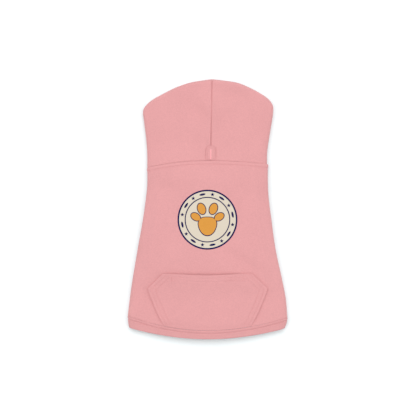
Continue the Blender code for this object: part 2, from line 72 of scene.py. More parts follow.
bl_info = {
    "name": "Pet hoodie lying flat",
    "version": (1, 0, 0),
    "blender": (4, 5, 0),
    "location": "View3D > Sidebar > Hoodie",
    "description": "Cuts, sews and prints a fleece hoodie for a dog, and lights it on a pale floor",
    "category": "Object",
}

MM = 0.001
BODY = "root"

BodyRow = namedtuple("BodyRow", "along left right")
HoodSide = namedtuple("HoodSide", "up left right")
CrownPoint = namedtuple("CrownPoint", "up left right")
Dent = namedtuple("Dent", "across along turn length width depth")
Rib = namedtuple("Rib", "tip centre bend under under_bend fold crown")
Spot = namedtuple("Spot", "place plan relief")
Section = namedtuple("Section", "near far half_width")
Reach = namedtuple("Reach", "low high left right")
Groove = namedtuple("Groove", "depth width")
Toe = namedtuple("Toe", "turn away length width")
Sun = namedtuple("Sun", "name direction spread strength")

# Half-width down each side, as a share of the way from the neck's to the hem's.
BODY_OUTLINE = (
    BodyRow(along=0.00, left=0.00, right=0.00),
    BodyRow(along=0.12, left=0.00, right=0.00),
    BodyRow(along=0.23, left=0.09, right=0.05),
    BodyRow(along=0.34, left=0.21, right=0.16),
    BodyRow(along=0.55, left=0.49, right=0.39),
    BodyRow(along=0.76, left=0.76, right=0.74),
    BodyRow(along=0.88, left=0.89, right=0.92),
    BodyRow(along=1.00, left=1.00, right=1.00),
)

# Half-width up each side of the hood, as a share of the way from the neck's to the hood's.
HOOD_SIDES = (
    HoodSide(up=0.00, left=0.00, right=-0.17),
    HoodSide(up=0.24, left=0.01, right=-0.11),
    HoodSide(up=0.52, left=0.24, right=0.31),
    HoodSide(up=0.84, left=0.69, right=0.87),
    HoodSide(up=1.00, left=0.86, right=1.08),
)

# Outline of the crown: height as a share of the crown's, reach as a share of half the hood.
CROWN_OUTLINE = (
    CrownPoint(up=0.19, left=0.940, right=0.998),
    CrownPoint(up=0.38, left=0.826, right=0.932),
    CrownPoint(up=0.56, left=0.664, right=0.805),
    CrownPoint(up=0.75, left=0.472, right=0.628),
    CrownPoint(up=0.90, left=0.245, right=0.430),
)

# Soft dents: place as shares of half the hem's width and half the whole length, turn in
# degrees from X, size as shares of the hem's width, depth as a share of the deepest.
DENTS = (
    Dent(across=0.41, along=-0.41, turn=-30, length=0.17, width=0.055, depth=1.0),
    Dent(across=0.22, along=-0.22, turn=-20, length=0.20, width=0.080, depth=0.4),
    Dent(across=-0.80, along=-0.74, turn=80, length=0.16, width=0.070, depth=0.5),
    Dent(across=0.16, along=-0.72, turn=70, length=0.20, width=0.090, depth=0.4),
    Dent(across=-0.60, along=0.16, turn=-15, length=0.12, width=0.060, depth=0.6),
    Dent(across=-0.12, along=0.74, turn=-60, length=0.10, width=0.050, depth=0.8),
    Dent(across=0.18, along=0.64, turn=62, length=0.09, width=0.050, depth=0.6),
    Dent(across=0.28, along=0.91, turn=-22, length=0.13, width=0.050, depth=0.5),
)

# Rows of stitches, as distances in from the edge that they follow.
PATCH_LINE = 3.0 * MM
PATCH_LINE_START = 0.8 * MM
POCKET_LINES = (5.7 * MM, 13.3 * MM)
MOUTH_LINES = (7.4 * MM, 13.6 * MM)
FACE_LINES = (7 * MM, 13 * MM)

# The hem's row, as a share of the needle gauge below the hem band's seam.
HEM_LINE_SHARE = 0.85

# Along the pocket's mouth, from its middle: the rows, the cloth that they press and the bartacks.
MOUTH_LINE_REACH = 66 * MM
MOUTH_PRESS_REACH = 67 * MM
BARTACK_PLACE = 68 * MM
BARTACK_LENGTH = 1.8 * MM
BARTACK_OVERRUN = 0.5 * MM
BARTACK_STITCHES = 18

# Along the pocket's sides: where the rows start below the mouth, and how much shorter they are.
SIDE_LINE_START = 1.5 * MM
SIDE_LINE_SHORTENING = 4 * MM

# Shares of a stitch at which its thread is laid on the cloth.
STITCH_STEPS = (0.0, 0.18, 0.5, 0.82, 1.0)

# Satin stitches of the slit, which run on past its ends and narrow there.
SATIN_STEPS = (0.0, 0.12, 0.4, 0.7, 0.9, 1.0)
SATIN_THREAD = 0.36 * MM
SATIN_PITCH = 0.33 * MM
SATIN_OVERRUN = 0.8 * MM
SATIN_END = 1.0 * MM
SATIN_INNER = 0.06 * MM

# Grooves beside edges that lie on other cloth.
PATCH_EDGE = Groove(depth=0.4 * MM, width=0.8 * MM)
PATCH_FOOT = Groove(depth=1.1 * MM, width=2.0 * MM)
POCKET_EDGE = Groove(depth=0.2 * MM, width=1.0 * MM)
POCKET_FOOT = Groove(depth=2.2 * MM, width=8 * MM)
BACK_UNDER_FOOT = Groove(depth=2.0 * MM, width=8 * MM)

# Hollow of the back behind the pocket's mouth: above the mouth's edge, its width and its run.
HOLLOW_ABOVE = 0.7 * MM
HOLLOW_WIDTH = 0.9 * MM
HOLLOW_MIDDLE = 8 * MM
HOLLOW_REACH = 56 * MM
HOLLOW_FADE = 12 * MM

# Hollow of the back under the pocket's foot, which runs on past the foot's ends.
FOOT_OVERRUN = 4 * MM
FOOT_FADE = 12 * MM

# Allowance behind a seam: how it rises from the seam and fades beyond the stitches.
RIDGE_RAMP = 1.8 * MM
RIDGE_EDGE = 0.6 * MM
RIDGE_FADE = 2.4 * MM

# The same in the hem band: its height, its distance from the seam and its width.
HEM_RIDGE = 0.35 * MM
HEM_RIDGE_PLACE = 2.6 * MM
HEM_RIDGE_WIDTH = 1.5 * MM

# Lengths of the cloth's uneven waves along X, Y and Z, and of the gathers beside stitches.
BROAD_RIPPLE = (0.075, 0.095, 0.050)
FINE_RIPPLE = (0.026, 0.030, 0.020)
GATHER_LENGTH = 0.0065
GATHER_REACH = 0.006

# Creases of the folded sleeves: size, depth and fading towards the armhole and the cuff.
CREASE_ACROSS = 0.03
CREASE_ALONG = 0.011
CREASE_DEPTH = 0.5 * MM
CREASE_FADE_FRONT = 0.012
CREASE_FADE_CUFF = 0.006

# Cloth round a sleeve or a cuff on its flat cut.
SLEEVE_GIRTH = 0.13

# Grid of the cloth: step beside a line, and steps across each stretch of a row.
FINE_STEP = 0.5 * MM
FOLD_STEPS = 10
TOP_STEPS = 70
TURN_STEPS = 9
BELLY_STEPS = 44
HEM_UNDER_STEPS = 60
HOOD_TOP_STEPS = 50
HOOD_UNDER_STEPS = 24
POCKET_STEPS = 44
SLEEVE_STEPS = 96
CUFF_STEPS = 320

# Margins with a finer grid: beside the hood's seam, the face opening and the pocket's sides.
SEAM_MARGIN = 12 * MM
FACE_MARGIN = 16 * MM
POCKET_MARGIN = 17 * MM

# How far the slit's cutter reaches below and above the hood.
SLIT_CUT_BELOW = 8 * MM
SLIT_CUT_ABOVE = 6 * MM

# Badge: rings as shares of its radius, motifs between them, and the paw.
RIM_WIDTH = 3.0 * MM
INNER_RING = 0.76
INNER_RING_HOLE = 0.955
MOTIF_RING = 0.855
MOTIF_COUNT = 16
STAR_OUTER = 3.8 * MM
STAR_INNER = 1.6 * MM
LEAF_LENGTH = 6.0 * MM
LEAF_WIDTH = 2.0 * MM
PAW_BORDER = 1.5 * MM
PAD_DROP = 0.0085
PAD_SIZE = 0.0170
TOES = (
    Toe(turn=-58, away=0.0262, length=0.0094, width=0.0064),
    Toe(turn=-21, away=0.0310, length=0.0105, width=0.0071),
    Toe(turn=21, away=0.0310, length=0.0105, width=0.0071),
    Toe(turn=58, away=0.0262, length=0.0094, width=0.0064),
)

# Height from which the print is dropped on the back, and one ink's height above another.
PRINT_FROM = 0.08
INK_STEP = 0.07 * MM

# Stage: wide soft lamps, the light of the room, the floor and the camera.
SUNS = (
    Sun("softbox_left", direction=(-1.1, 0.0, 1.0), spread=1.0, strength=0.96),
    Sun("softbox_right", direction=(1.1, 0.0, 1.0), spread=1.0, strength=0.96),
    Sun("softbox_above", direction=(0.0, 0.50, 1.0), spread=0.8, strength=1.16),
)
ROOM_LIGHT = 0.52
FLOOR_HALF_WIDTH = 12.0
FLOOR_DROP = 0.4 * MM
CAMERA_PLACE = (0.8 * MM, 1.6 * MM, 2.972)


def length_of(name, description, default):
    """A property that holds a length in metres."""
    return bpy.props.FloatProperty(
        name=name, description=description, default=default, unit="LENGTH", precision=4
    )


def share_of(name, description, default):
    """A property that holds a share or another plain number."""
    return bpy.props.FloatProperty(name=name, description=description, default=default)


def colour_of(name, description, red, green, blue):
    """A property that holds a colour, given as it looks on a screen from 0 to 255."""
    linear = [((level / 255 + 0.055) / 1.055) ** 2.4 for level in (red, green, blue)]
    return bpy.props.FloatVectorProperty(
        name=name, description=description, default=linear, subtype="COLOR", min=0, max=1
    )


class HoodieCut(bpy.types.PropertyGroup):
    """The outline of the garment as it lies."""

    whole_length: length_of("Whole length", "Crown to hem", CAD_HIGH.y - CAD_LOW.y)
    hem_width: length_of("Hem width", "Across the hem", BAND_HIGH.x - BAND_LOW.x)
    neck_width: length_of("Neck width", "Across the neck seam", 0.229)
    hood_width: length_of("Hood width", "Across the hood at its widest", 0.248)
    hood_side: length_of("Hood side", "Side of the neck seam to the widest place", 0.107)
    crown_height: length_of("Crown height", "Widest place to the crown", 0.061)
    neck_rise: length_of("Neck rise", "Arch of the neck seam on the back", 0.013)
    neck_tilt: length_of("Neck tilt", "Seam's right end above its left end", 0.0065)
    band_tilt: length_of("Band tilt", "The same for the hem band's seam", -0.0030)
    hem_tilt: length_of("Hem tilt", "The same for the hem", -0.0015)
    throat_drop: length_of("Throat drop", "Scoop of the neck seam at the throat", 0.018)
    hem_drop: length_of("Hem drop", "Hem's middle below its corners", 0.021)
    belly_scoop: length_of("Belly scoop", "How far the belly's hem is cut back", 0.026)
    hem_depth: length_of("Hem depth", "Hem band at its corners", 0.0228)
    hem_depth_centre: length_of("Hem depth, centre", "Hem band at its middle", 0.0165)
    taper_left: length_of("Left taper", "How far the hem's left corner draws in", 0.0025)
    taper_right: length_of("Right taper", "How far the hem's right corner draws in", 0.0055)
    seam_shift_neck: length_of("Seam shift, neck", "Centre seam beside the middle", 0.0055)
    seam_shift_crown: length_of("Seam shift, crown", "Centre seam beside the middle", 0.0085)
    face_half_width: length_of("Face opening", "Half the opening's width", 0.072)
    forehead_turn: length_of("Forehead turn", "Cloth turned under at the crown", 0.045)
    seam_meet: share_of("Seam meet", "Share of the hood's length where the rows meet", 0.56)


class HoodieLay(bpy.types.PropertyGroup):
    """The cloth's thickness and the way that it lies."""

    wall: length_of("Cloth", "Thickness of the fleece", 0.0022)
    hem_wall: length_of("Hem", "Thickness of the doubled hem", 0.0040)
    side_fold: length_of("Side fold", "Outer radius of the side folds", 0.0070)
    hem_fold: length_of("Hem fold", "Outer radius of the folds at the hem", 0.0085)
    body_crown: length_of("Back swell", "How far the back swells", 0.0075)
    hood_crown: length_of("Hood swell", "How far the hood swells", 0.0085)
    side_turn: length_of("Side turn", "How far the back turns under", 0.028)
    side_sag: share_of("Side sag", "Share of the lift that the sides sink by", 0.8)
    dent_depth: length_of("Dent depth", "Depth of the deepest soft dent", 0.0055)
    ripple: length_of("Ripple", "Height of the cloth's soft ripples", 0.0012)
    seam_gap: length_of("Seam gap", "Between two pieces sewn edge to edge", 0.0002)
    lay_gap: length_of("Lay gap", "Between two pieces that lie on each other", 0.0003)


class HoodieSeams(bpy.types.PropertyGroup):
    """How seams and stitches press into the cloth."""

    ditch_depth: length_of("Ditch depth", "How far an edge dips into its seam", 0.0010)
    ditch_width: length_of("Ditch width", "Width of that dip", 0.0010)
    flat_seam: share_of("Flat seam", "Share of the ditch at a seam that is stitched down", 0.4)
    centre_seam: share_of("Centre seam", "The same for the hood's plain centre seam", 1.7)
    ridge: length_of("Ridge", "Height of the seam allowance below the cloth", 0.0008)
    dimple: length_of("Dimple", "How far stitches press in", 0.00055)
    dimple_width: length_of("Dimple width", "Width of the pressed line", 0.0008)
    needle_gauge: length_of("Needle gauge", "Between twin rows of stitches", 0.0064)
    stitch_pitch: length_of("Stitch pitch", "From one stitch to the next", 0.0030)
    stitch_length: length_of("Stitch length", "Length of one stitch on the surface", 0.0025)
    thread: length_of("Thread", "Thickness of the sewing thread", 0.00042)
    pucker: length_of("Pucker", "Height of the puckers beside a seam", 0.00028)


class HoodieDetails(bpy.types.PropertyGroup):
    """The leash patch, the pocket and the sleeves."""

    patch_width: length_of("Patch width", "Across the leash patch", 0.0185)
    patch_length: length_of("Patch length", "Along the leash patch", 0.028)
    patch_rise: length_of("Patch rise", "Neck seam to the patch", 0.0004)
    patch_wall: length_of("Patch cloth", "Thickness of the patch", 0.0010)
    slit_width: length_of("Slit width", "Across the leash slit", 0.0010)
    slit_length: length_of("Slit length", "Along the leash slit", 0.0175)
    slit_rise: length_of("Slit rise", "Neck seam to the slit", 0.0030)
    binding_width: length_of("Binding width", "Satin stitches beside the slit", 0.0007)
    pocket_depth: length_of("Pocket depth", "Mouth down to the hem band", 0.108)
    pocket_mouth: length_of("Pocket mouth", "Across the mouth", 0.168)
    pocket_width: length_of("Pocket width", "Across the pocket at its widest", 0.228)
    pocket_foot: length_of("Pocket foot", "Across the foot", 0.165)
    pocket_shoulder: length_of("Pocket shoulder", "Mouth to the widest place", 0.029)
    pocket_gape: length_of("Pocket gape", "How far the mouth stands off", 0.0032)
    pocket_bow: length_of("Pocket bow", "How far each flank bulges", 0.0020)
    mouth_sag: length_of("Mouth sag", "How far the mouth's middle hangs down", 0.0032)
    mouth_hollow: length_of("Mouth hollow", "Hollow of the back behind the mouth", 0.0026)
    sleeve_width: length_of("Sleeve width", "Across the sleeve", SLEEVE_HIGH.x - SLEEVE_LOW.x)
    wrist_width: length_of("Wrist width", "Across the sleeve's end", 0.058)
    sleeve_height: length_of("Sleeve height", "Thickness of the folded sleeve", CUFF_HIGH.z)
    sleeve_clearance: length_of("Sleeve clearance", "Below the belly", 0.0008)
    armhole_width: length_of("Armhole width", "Across the armhole", 0.059)
    armhole_length: length_of("Armhole length", "Along the armhole", 0.056)
    armhole_setback: length_of("Armhole setback", "Throat down to the armhole", 0.018)
    cuff_width: length_of("Cuff width", "Across the cuff", CUFF_HIGH.x - CUFF_LOW.x)
    cuff_length: length_of("Cuff length", "Along the cuff", 0.020)
    sleeve_length: length_of("Sleeve length", "Armhole to the cuff", 0.055)
    cuff_wall: length_of("Cuff cloth", "Thickness of the ribbing", 0.0024)
    rib_pitch: length_of("Rib pitch", "From one rib of the cuff to the next", 0.0030)
    rib_depth: length_of("Rib depth", "Depth between the ribs", 0.0006)


class HoodieColours(bpy.types.PropertyGroup):
    """The colours of cloth, thread and print."""

    fleece: colour_of("Fleece", "The knitted outside", 214, 153, 154)
    inside: colour_of("Inside", "The brushed inside", 220, 163, 163)
    ribbing: colour_of("Ribbing", "The cuffs", 211, 149, 149)
    thread: colour_of("Thread", "The sewing thread", 216, 154, 155)
    binding: colour_of("Binding", "The satin stitches of the slit", 243, 179, 183)
    navy: colour_of("Navy", "The print's dark ink", 11, 7, 70)
    cream: colour_of("Cream", "The print's ground", 205, 195, 178)
    ochre: colour_of("Ochre", "The print's warm ink", 204, 142, 60)
    floor: colour_of("Floor", "The pale floor", 241, 249, 250)


class HoodieBadge(bpy.types.PropertyGroup):
    """The round badge that is printed on the back."""

    radius: length_of("Radius", "To the badge's outer edge", 0.0565)
    place_x: length_of("Across", "Middle of the badge", -0.0002)
    place_y: length_of("Along", "Middle of the badge", -0.0204)
    film: length_of("Film", "Thickness of the print on the cloth", 0.00012)


SETTINGS = {
    "hoodie_cut": HoodieCut,
    "hoodie_lay": HoodieLay,
    "hoodie_seams": HoodieSeams,
    "hoodie_details": HoodieDetails,
    "hoodie_colours": HoodieColours,
    "hoodie_badge": HoodieBadge,
}


def settings(name):
    """The values of one group of settings, read once because reading a property is slow."""
    group = getattr(bpy.context.scene, name)
    values = {}
    for key in SETTINGS[name].__annotations__:
        value = getattr(group, key)
        values[key] = value if isinstance(value, float) else tuple(value)
    return SimpleNamespace(**values)


def mix(start, end, share):
    return start + (end - start) * share


def smooth(share):
    share = min(1.0, max(0.0, share))
    return share * share * (3 - 2 * share)


def bent(start, bend, end, share):
    return mix(mix(start, bend, share), mix(bend, end, share), share)


def bell(distance, width):
    """1 at no distance, falling off to nothing over about twice the width."""
    share = distance / width
    return math.exp(-share * share)


def groove(distance, shape):
    """How far a groove sinks at this distance from its line."""
    return shape.depth * bell(distance, shape.width)


def waves(place, lengths):
    """Noise from -1 to 1 whose waves have these lengths along X, Y and Z."""
    return noise.noise(Vector([axis / length for axis, length in zip(place, lengths)]))


def tilt(side, amount):
    """How far an edge's right end is raised; its left end stays."""
    return amount if side > 0 else 0.0


def table_value(rows, key, column, place):
    """A column of a table, read smoothly at a place between its rows."""
    keys = [getattr(row, key) for row in rows]
    values = [getattr(row, column) for row in rows]
    last = len(rows) - 1
    slopes = []
    for i in range(last + 1):
        before, after = max(0, i - 1), min(last, i + 1)
        slopes.append((values[after] - values[before]) / (keys[after] - keys[before]))
    i = min(last - 1, max(0, bisect.bisect_right(keys, place) - 1))
    span = keys[i + 1] - keys[i]
    t = min(1.0, max(0.0, (place - keys[i]) / span))
    pull = span * t * (1 - t) * ((1 - t) * slopes[i] - t * slopes[i + 1])
    return mix(values[i], values[i + 1], smooth(t)) + pull


def steps_between(length, coarse, lines=(), reach=3):
    """Distances from 0 to a length, closer together beside each line."""
    count = max(1, round(length / coarse))
    places = [length * i / count for i in range(count + 1)]
    for line in lines:
        for i in range(-reach, reach + 1):
            place = line + i * FINE_STEP
            if 0 < place < length:
                places.append(place)
    kept = []
    for place in sorted(places):
        if not kept or place - kept[-1] > 0.6 * FINE_STEP:
            kept.append(place)
    kept[-1] = length
    return kept


class Outline:
    """A smooth curve through points of the plane, read by its share of length."""

    def __init__(self, knots, samples=24):
        self.points = [knots[0]]
        last = len(knots) - 1
        for i in range(last):
            pull_in = (knots[i + 1] - knots[max(0, i - 1)]) / (2 if i > 0 else 1)
            pull_out = (knots[min(last, i + 2)] - knots[i]) / (2 if i + 1 < last else 1)
            for step in range(1, samples + 1):
                t = step / samples
                pull = t * (1 - t) * ((1 - t) * pull_in - t * pull_out)
                self.points.append(mix(knots[i], knots[i + 1], smooth(t)) + pull)
        self.lengths = [0.0]
        for start, end in zip(self.points, self.points[1:]):
            self.lengths.append(self.lengths[-1] + (end - start).length)
        self.length = self.lengths[-1]

    def at(self, share):
        length = share * self.length
        i = bisect.bisect_right(self.lengths, length) - 1
        i = min(len(self.points) - 2, max(0, i))
        t = (length - self.lengths[i]) / (self.lengths[i + 1] - self.lengths[i])
        return mix(self.points[i], self.points[i + 1], t)

    def direction(self, share):
        step = 2 / len(self.points)
        ahead = self.at(min(1.0, share + step))
        return (ahead - self.at(max(0.0, share - step))).normalized()


def parabola_end(tip, x, rise):
    return Vector((x, tip.y + rise * (1 - (x / tip.x) ** 2)))


def parabola_bend(tip, end, rise):
    """Bend of the arch that rises by this much at X zero, between its tip and its end."""
    return Vector(((tip.x + end.x) / 2, tip.y + rise * abs((end.x - tip.x) / tip.x)))


class Garment:
    """The surface that all the cloth lies on, worked out from the settings."""

    def __init__(self):
        self.cut = cut = settings("hoodie_cut")
        self.lay = lay = settings("hoodie_lay")
        self.seams = settings("hoodie_seams")
        self.details = details = settings("hoodie_details")
        self.hood_length = cut.hood_side + cut.crown_height
        self.crown_y = cut.whole_length / 2
        self.neck_y = self.crown_y - self.hood_length
        self.hem_y = cut.hem_drop - cut.whole_length / 2
        self.band_y = self.hem_y + cut.hem_depth
        self.band_drop = cut.hem_drop + cut.hem_depth - cut.hem_depth_centre
        self.throat_y = self.neck_y - cut.throat_drop
        self.belly_lift = details.sleeve_height + details.sleeve_clearance
        self.armhole_front = self.throat_y - details.armhole_setback
        self.armhole_back = self.armhole_front - details.armhole_length
        self.sleeve_centre = (cut.neck_width / 2 - lay.side_turn) / 2
        self.wrist_y = self.armhole_back - details.sleeve_length
        self.patch_foot = self.neck_y + cut.neck_rise + details.patch_rise
        self.slit_start = self.neck_y + cut.neck_rise + details.slit_rise
        self.cuff_end = self.wrist_y - details.cuff_length
        self.lift_margin = 3 * lay.wall
        self.lift_ramp = self.cuff_end - self.lift_margin - self.band_y - cut.belly_scoop
        self.outlines = {side: self.hood_outline(side) for side in (-1, 1)}

    def lift(self, y):
        """Height at which the folded sleeves hold the belly."""
        behind = y - self.cuff_end + self.lift_margin + self.lift_ramp
        ahead = self.armhole_front + self.lift_margin + self.lift_ramp - y
        return self.belly_lift * smooth(behind / self.lift_ramp) * smooth(ahead / self.lift_ramp)

    def under_height(self, y, inset):
        """Height of the underside, whose side folds sink beside the sleeves."""
        sag = self.lay.side_sag * (1 - smooth(inset / self.lay.side_turn))
        return self.lift(y) * (1 - sag)

    def dents(self, x, y):
        """Depth of the soft dents at a place on the upper side."""
        width = self.cut.hem_width
        total = 0.0
        for dent in DENTS:
            away_x = x - dent.across * width / 2
            away_y = y - dent.along * self.crown_y
            turn = math.radians(dent.turn)
            run = (away_x * math.cos(turn) + away_y * math.sin(turn)) / (dent.length * width)
            off = (away_y * math.cos(turn) - away_x * math.sin(turn)) / (dent.width * width)
            total += dent.depth * math.exp(-run * run - off * off)
        return self.lay.dent_depth * total

    def ripple(self, place):
        """Soft uneven swelling of the cloth, broad with a little of a finer one."""
        height = waves(place, BROAD_RIPPLE) + 0.3 * waves(place, FINE_RIPPLE)
        return self.lay.ripple * height * abs(self.level(place))

    def level(self, place):
        """1 on the upper side, 0 round the side folds and -1 underneath."""
        fold = self.lay.side_fold
        upper = smooth((place.z - 1.2 * fold) / (0.7 * fold))
        return upper - smooth((0.5 * fold - place.z) / (0.4 * fold))

    def pucker(self, distance, run):
        """Small gathers beside a row of stitches."""
        wave = noise.noise(Vector((run / GATHER_LENGTH, distance / 0.03, 21.3)))
        return self.seams.pucker * wave * bell(distance, GATHER_REACH)

    def ditch(self, distance, place=None, share=1.0):
        """How far an edge dips into its seam, which is less where it turns round a fold."""
        depth = share * self.seams.ditch_depth * bell(distance, self.seams.ditch_width)
        return -depth * (mix(0.3, 1.0, abs(self.level(place))) if place else 1.0)

    def stitch_line(self, distance):
        return -self.seams.dimple * bell(distance, self.seams.dimple_width)

    def upper_height(self, flat, inset, length, fold, crown):
        """Height of the upper side, which swells from its side fold up to the middle."""
        from_middle = (length - inset) / (length - fold)
        swell = crown * (1 - from_middle**2) ** 2
        sunk = self.dents(flat.x, flat.y) * smooth((inset - fold) / self.lay.side_turn)
        return self.under_height(flat.y, inset) + 2 * fold + swell - sunk

    def top_point(self, rib, inset):
        length = (rib.centre - rib.tip).length
        flat = bent(rib.tip, rib.bend, rib.centre, inset / length)
        height = self.upper_height(flat, inset, length, rib.fold, rib.crown)
        return Vector((flat.x, flat.y, height))

    def fold_point(self, rib, turn):
        """A point of the fold: turn is 0 at its upper end and 1 at its lower end."""
        angle = (0.5 - turn) * math.pi
        inset = rib.fold * (1 - math.cos(angle))
        end, bend = (rib.centre, rib.bend) if turn < 0.5 else (rib.under, rib.under_bend)
        flat = bent(rib.tip, bend, end, inset / (end - rib.tip).length)
        height = self.under_height(flat.y, inset) + rib.fold * (1 + math.sin(angle))
        return Vector((flat.x, flat.y, height))

    def under_point(self, rib, inset):
        flat = bent(rib.tip, rib.under_bend, rib.under, inset / (rib.under - rib.tip).length)
        return Vector((flat.x, flat.y, self.under_height(flat.y, inset)))

    def side_rib(self, tip, rise, under_rise, fold):
        """A rib of the body, from the middle of the back round a side to the belly's middle."""
        centre = parabola_end(tip, 0.0, rise)
        under = parabola_end(tip, 0.0, under_rise)
        bend = parabola_bend(tip, centre, rise)
        under_bend = parabola_bend(tip, under, under_rise)
        return Rib(tip, centre, bend, under, under_bend, fold, self.lay.body_crown)

    def body_rib(self, side, along):
        """along is 0 at the neck seam and 1 at the hem band."""
        cut, lay = self.cut, self.lay
        neck, band = tilt(side, cut.neck_tilt), tilt(side, cut.band_tilt)
        share = table_value(BODY_OUTLINE, "along", "left" if side < 0 else "right", along)
        half_width = mix(cut.neck_width, cut.hem_width, share) / 2
        tip = Vector((side * half_width, mix(self.neck_y + neck, self.band_y + band, along)))
        rise = mix(cut.neck_rise - neck, -self.band_drop - band, along)
        under_rise = mix(-cut.throat_drop - neck, cut.belly_scoop - band, along)
        return self.side_rib(
            tip, rise, under_rise, mix(lay.side_fold, lay.hem_fold, smooth(2 * along - 1))
        )

    def hem_rib(self, side, down):
        """down is 0 at the hem band's seam and 1 at the hem."""
        cut = self.cut
        taper = cut.taper_left if side < 0 else cut.taper_right
        half_width = cut.hem_width / 2 - taper * down * down
        turned = tilt(side, mix(cut.band_tilt, cut.hem_tilt, down))
        tip = Vector((side * half_width, mix(self.band_y, self.hem_y, down) + turned))
        rise = mix(-self.band_drop, -cut.hem_drop, down) - turned
        return self.side_rib(tip, rise, cut.belly_scoop - turned, self.lay.hem_fold)

    def seam_x(self, y):
        """Where the hood's centre seam runs."""
        share = (y - self.neck_y) / self.hood_length
        return mix(self.cut.seam_shift_neck, self.cut.seam_shift_crown, share)

    def hood_outline(self, side):
        cut = self.cut
        column = "left" if side < 0 else "right"
        knots = []
        for row in HOOD_SIDES:
            reach = mix(cut.neck_width, cut.hood_width, getattr(row, column)) / 2
            height = mix(tilt(side, cut.neck_tilt), cut.hood_side, row.up)
            knots.append(Vector((side * reach, self.neck_y + height)))
        for row in CROWN_OUTLINE:
            reach = getattr(row, column) * cut.hood_width / 2
            knots.append(Vector((side * reach, self.crown_y - (1 - row.up) * cut.crown_height)))
        crown_x = self.seam_x(self.crown_y) + side * self.lay.seam_gap / 2
        knots.append(Vector((crown_x, self.crown_y)))
        return Outline(knots)

    def face_rim(self, side, share):
        """The edge of the face opening, from the throat to the forehead."""
        turn = math.pi * share
        middle = self.seam_x(self.crown_y) * share + side * self.lay.seam_gap / 2
        x = middle + side * self.cut.face_half_width * math.sin(turn)
        y = mix(self.throat_y, self.crown_y - self.cut.forehead_turn, math.sin(turn / 2))
        return Vector((x, y))

    def hood_bend(self, tip, end, rise, inward, share):
        """A rib follows the neck's arch below, and higher up leaves its tip more squarely."""
        straight = (tip + end) / 2
        square = tip + inward * (end - tip).length / 2
        leaning = mix(straight, square, 0.3 * smooth((1 - share) / 0.2))
        return mix(parabola_bend(tip, end, rise), leaning, smooth(share / 0.3))

    def hood_rib(self, side, share):
        """share is 0 at the neck seam and 1 at the crown."""
        cut, lay = self.cut, self.lay
        outline = self.outlines[side]
        tip = outline.at(share)
        along = outline.direction(share)
        inward = Vector((-side * along.y, side * along.x))
        half_gap = side * lay.seam_gap / 2
        turned = tilt(side, cut.neck_tilt)
        rise = cut.neck_rise - turned
        start = parabola_end(outline.at(0), self.seam_x(self.neck_y) + half_gap, rise)
        centre_y = mix(start.y, self.neck_y + cut.seam_meet * self.hood_length, share)
        centre = Vector((self.seam_x(centre_y) + half_gap, centre_y))
        under = self.face_rim(side, share)
        bend = self.hood_bend(tip, centre, rise, inward, share)
        under_bend = self.hood_bend(tip, under, -cut.throat_drop - turned, inward, share)
        crown = mix(lay.body_crown, lay.hood_crown, smooth(share))
        return Rib(tip, centre, bend, under, under_bend, lay.side_fold, crown)

    def back_height(self, x, y):
        """Height of the back's upper side, on the rib that passes through this place."""
        side = -1 if x < 0 else 1
        neck, band = tilt(side, self.cut.neck_tilt), tilt(side, self.cut.band_tilt)
        start, end = self.neck_y + neck, self.band_y + band
        along = 0.5
        for _ in range(8):
            half_width = abs(self.body_rib(side, along).tip.x)
            rise = mix(self.cut.neck_rise - neck, -self.band_drop - band, along)
            along = (start + rise * (1 - (x / half_width) ** 2) - y) / (start - end)
        rib = self.body_rib(side, along)
        length = (rib.centre - rib.tip).length
        inset = length * (1 - x / rib.tip.x)
        return self.upper_height(Vector((x, y)), inset, length, rib.fold, rib.crown)

    def seam_height(self, x, y):
        """Height of the hood's upper side close to its centre seam."""
        side = -1 if x < self.seam_x(y) else 1
        first = self.hood_rib(side, 0).centre.y
        last = self.hood_rib(side, 1).centre.y
        rib = self.hood_rib(side, (y - first) / (last - first))
        length = (rib.centre - rib.tip).length
        inset = length - abs(x - self.seam_x(y))
        return self.upper_height(Vector((x, y)), inset, length, rib.fold, rib.crown)


def half_row(garment, rib, tops, unders):
    """Spots of a rib from the middle of the back, round the side and back underneath, each with
    its place in the flat cut, which runs straight on where the cloth turns under."""
    length = (rib.centre - rib.tip).length
    places = [garment.top_point(rib, length - distance) for distance in tops[:-1]]
    places += [garment.fold_point(rib, step / FOLD_STEPS) for step in range(FOLD_STEPS)]
    places += [garment.under_point(rib, rib.fold + distance) for distance in unders]
    outward = (rib.tip - rib.bend).normalized()
    spots = []
    plan = None
    for i, place in enumerate(places):
        plan = place.xy if i < len(tops) else plan + outward * (place - places[i - 1]).length
        spots.append(Spot(place, plan, 0.0))
    return spots


def even(length, count):
    return [length * i / count for i in range(count + 1)]


def runs_along(rows):
    """How far each spot lies from the first row, measured along its column."""
    runs = [[0.0] * len(rows[0])]
    for before, row in zip(rows, rows[1:]):
        run = [r + (b.place - a.place).length for r, a, b in zip(runs[-1], before, row)]
        runs.append(run)
    return runs


def transposed(rows):
    return [list(column) for column in zip(*rows)]


def press(rows, relief):
    """Gives each spot the relief that a function works out from the spot and from how far it
    lies from the four sides of the grid."""
    low = runs_along(rows)
    left = transposed(runs_along(transposed(rows)))
    pressed = []
    for r, row in enumerate(rows):
        spots = []
        for c, spot in enumerate(row):
            high = low[-1][c] - low[r][c]
            right = left[r][-1] - left[r][c]
            reach = Reach(low[r][c], high, left[r][c], right)
            spots.append(Spot(spot.place, spot.plan, relief(spot.place, reach)))
        pressed.append(spots)
    return pressed


def line_at(rows, distance):
    """The line that lies at one distance from the first row."""
    runs = runs_along(rows)
    line = []
    for c in range(len(rows[0])):
        r = 1
        while r < len(rows) - 1 and runs[r][c] < distance:
            r += 1
        share = (distance - runs[r - 1][c]) / (runs[r][c] - runs[r - 1][c])
        line.append(mix(rows[r - 1][c].place, rows[r][c].place, share))
    return line


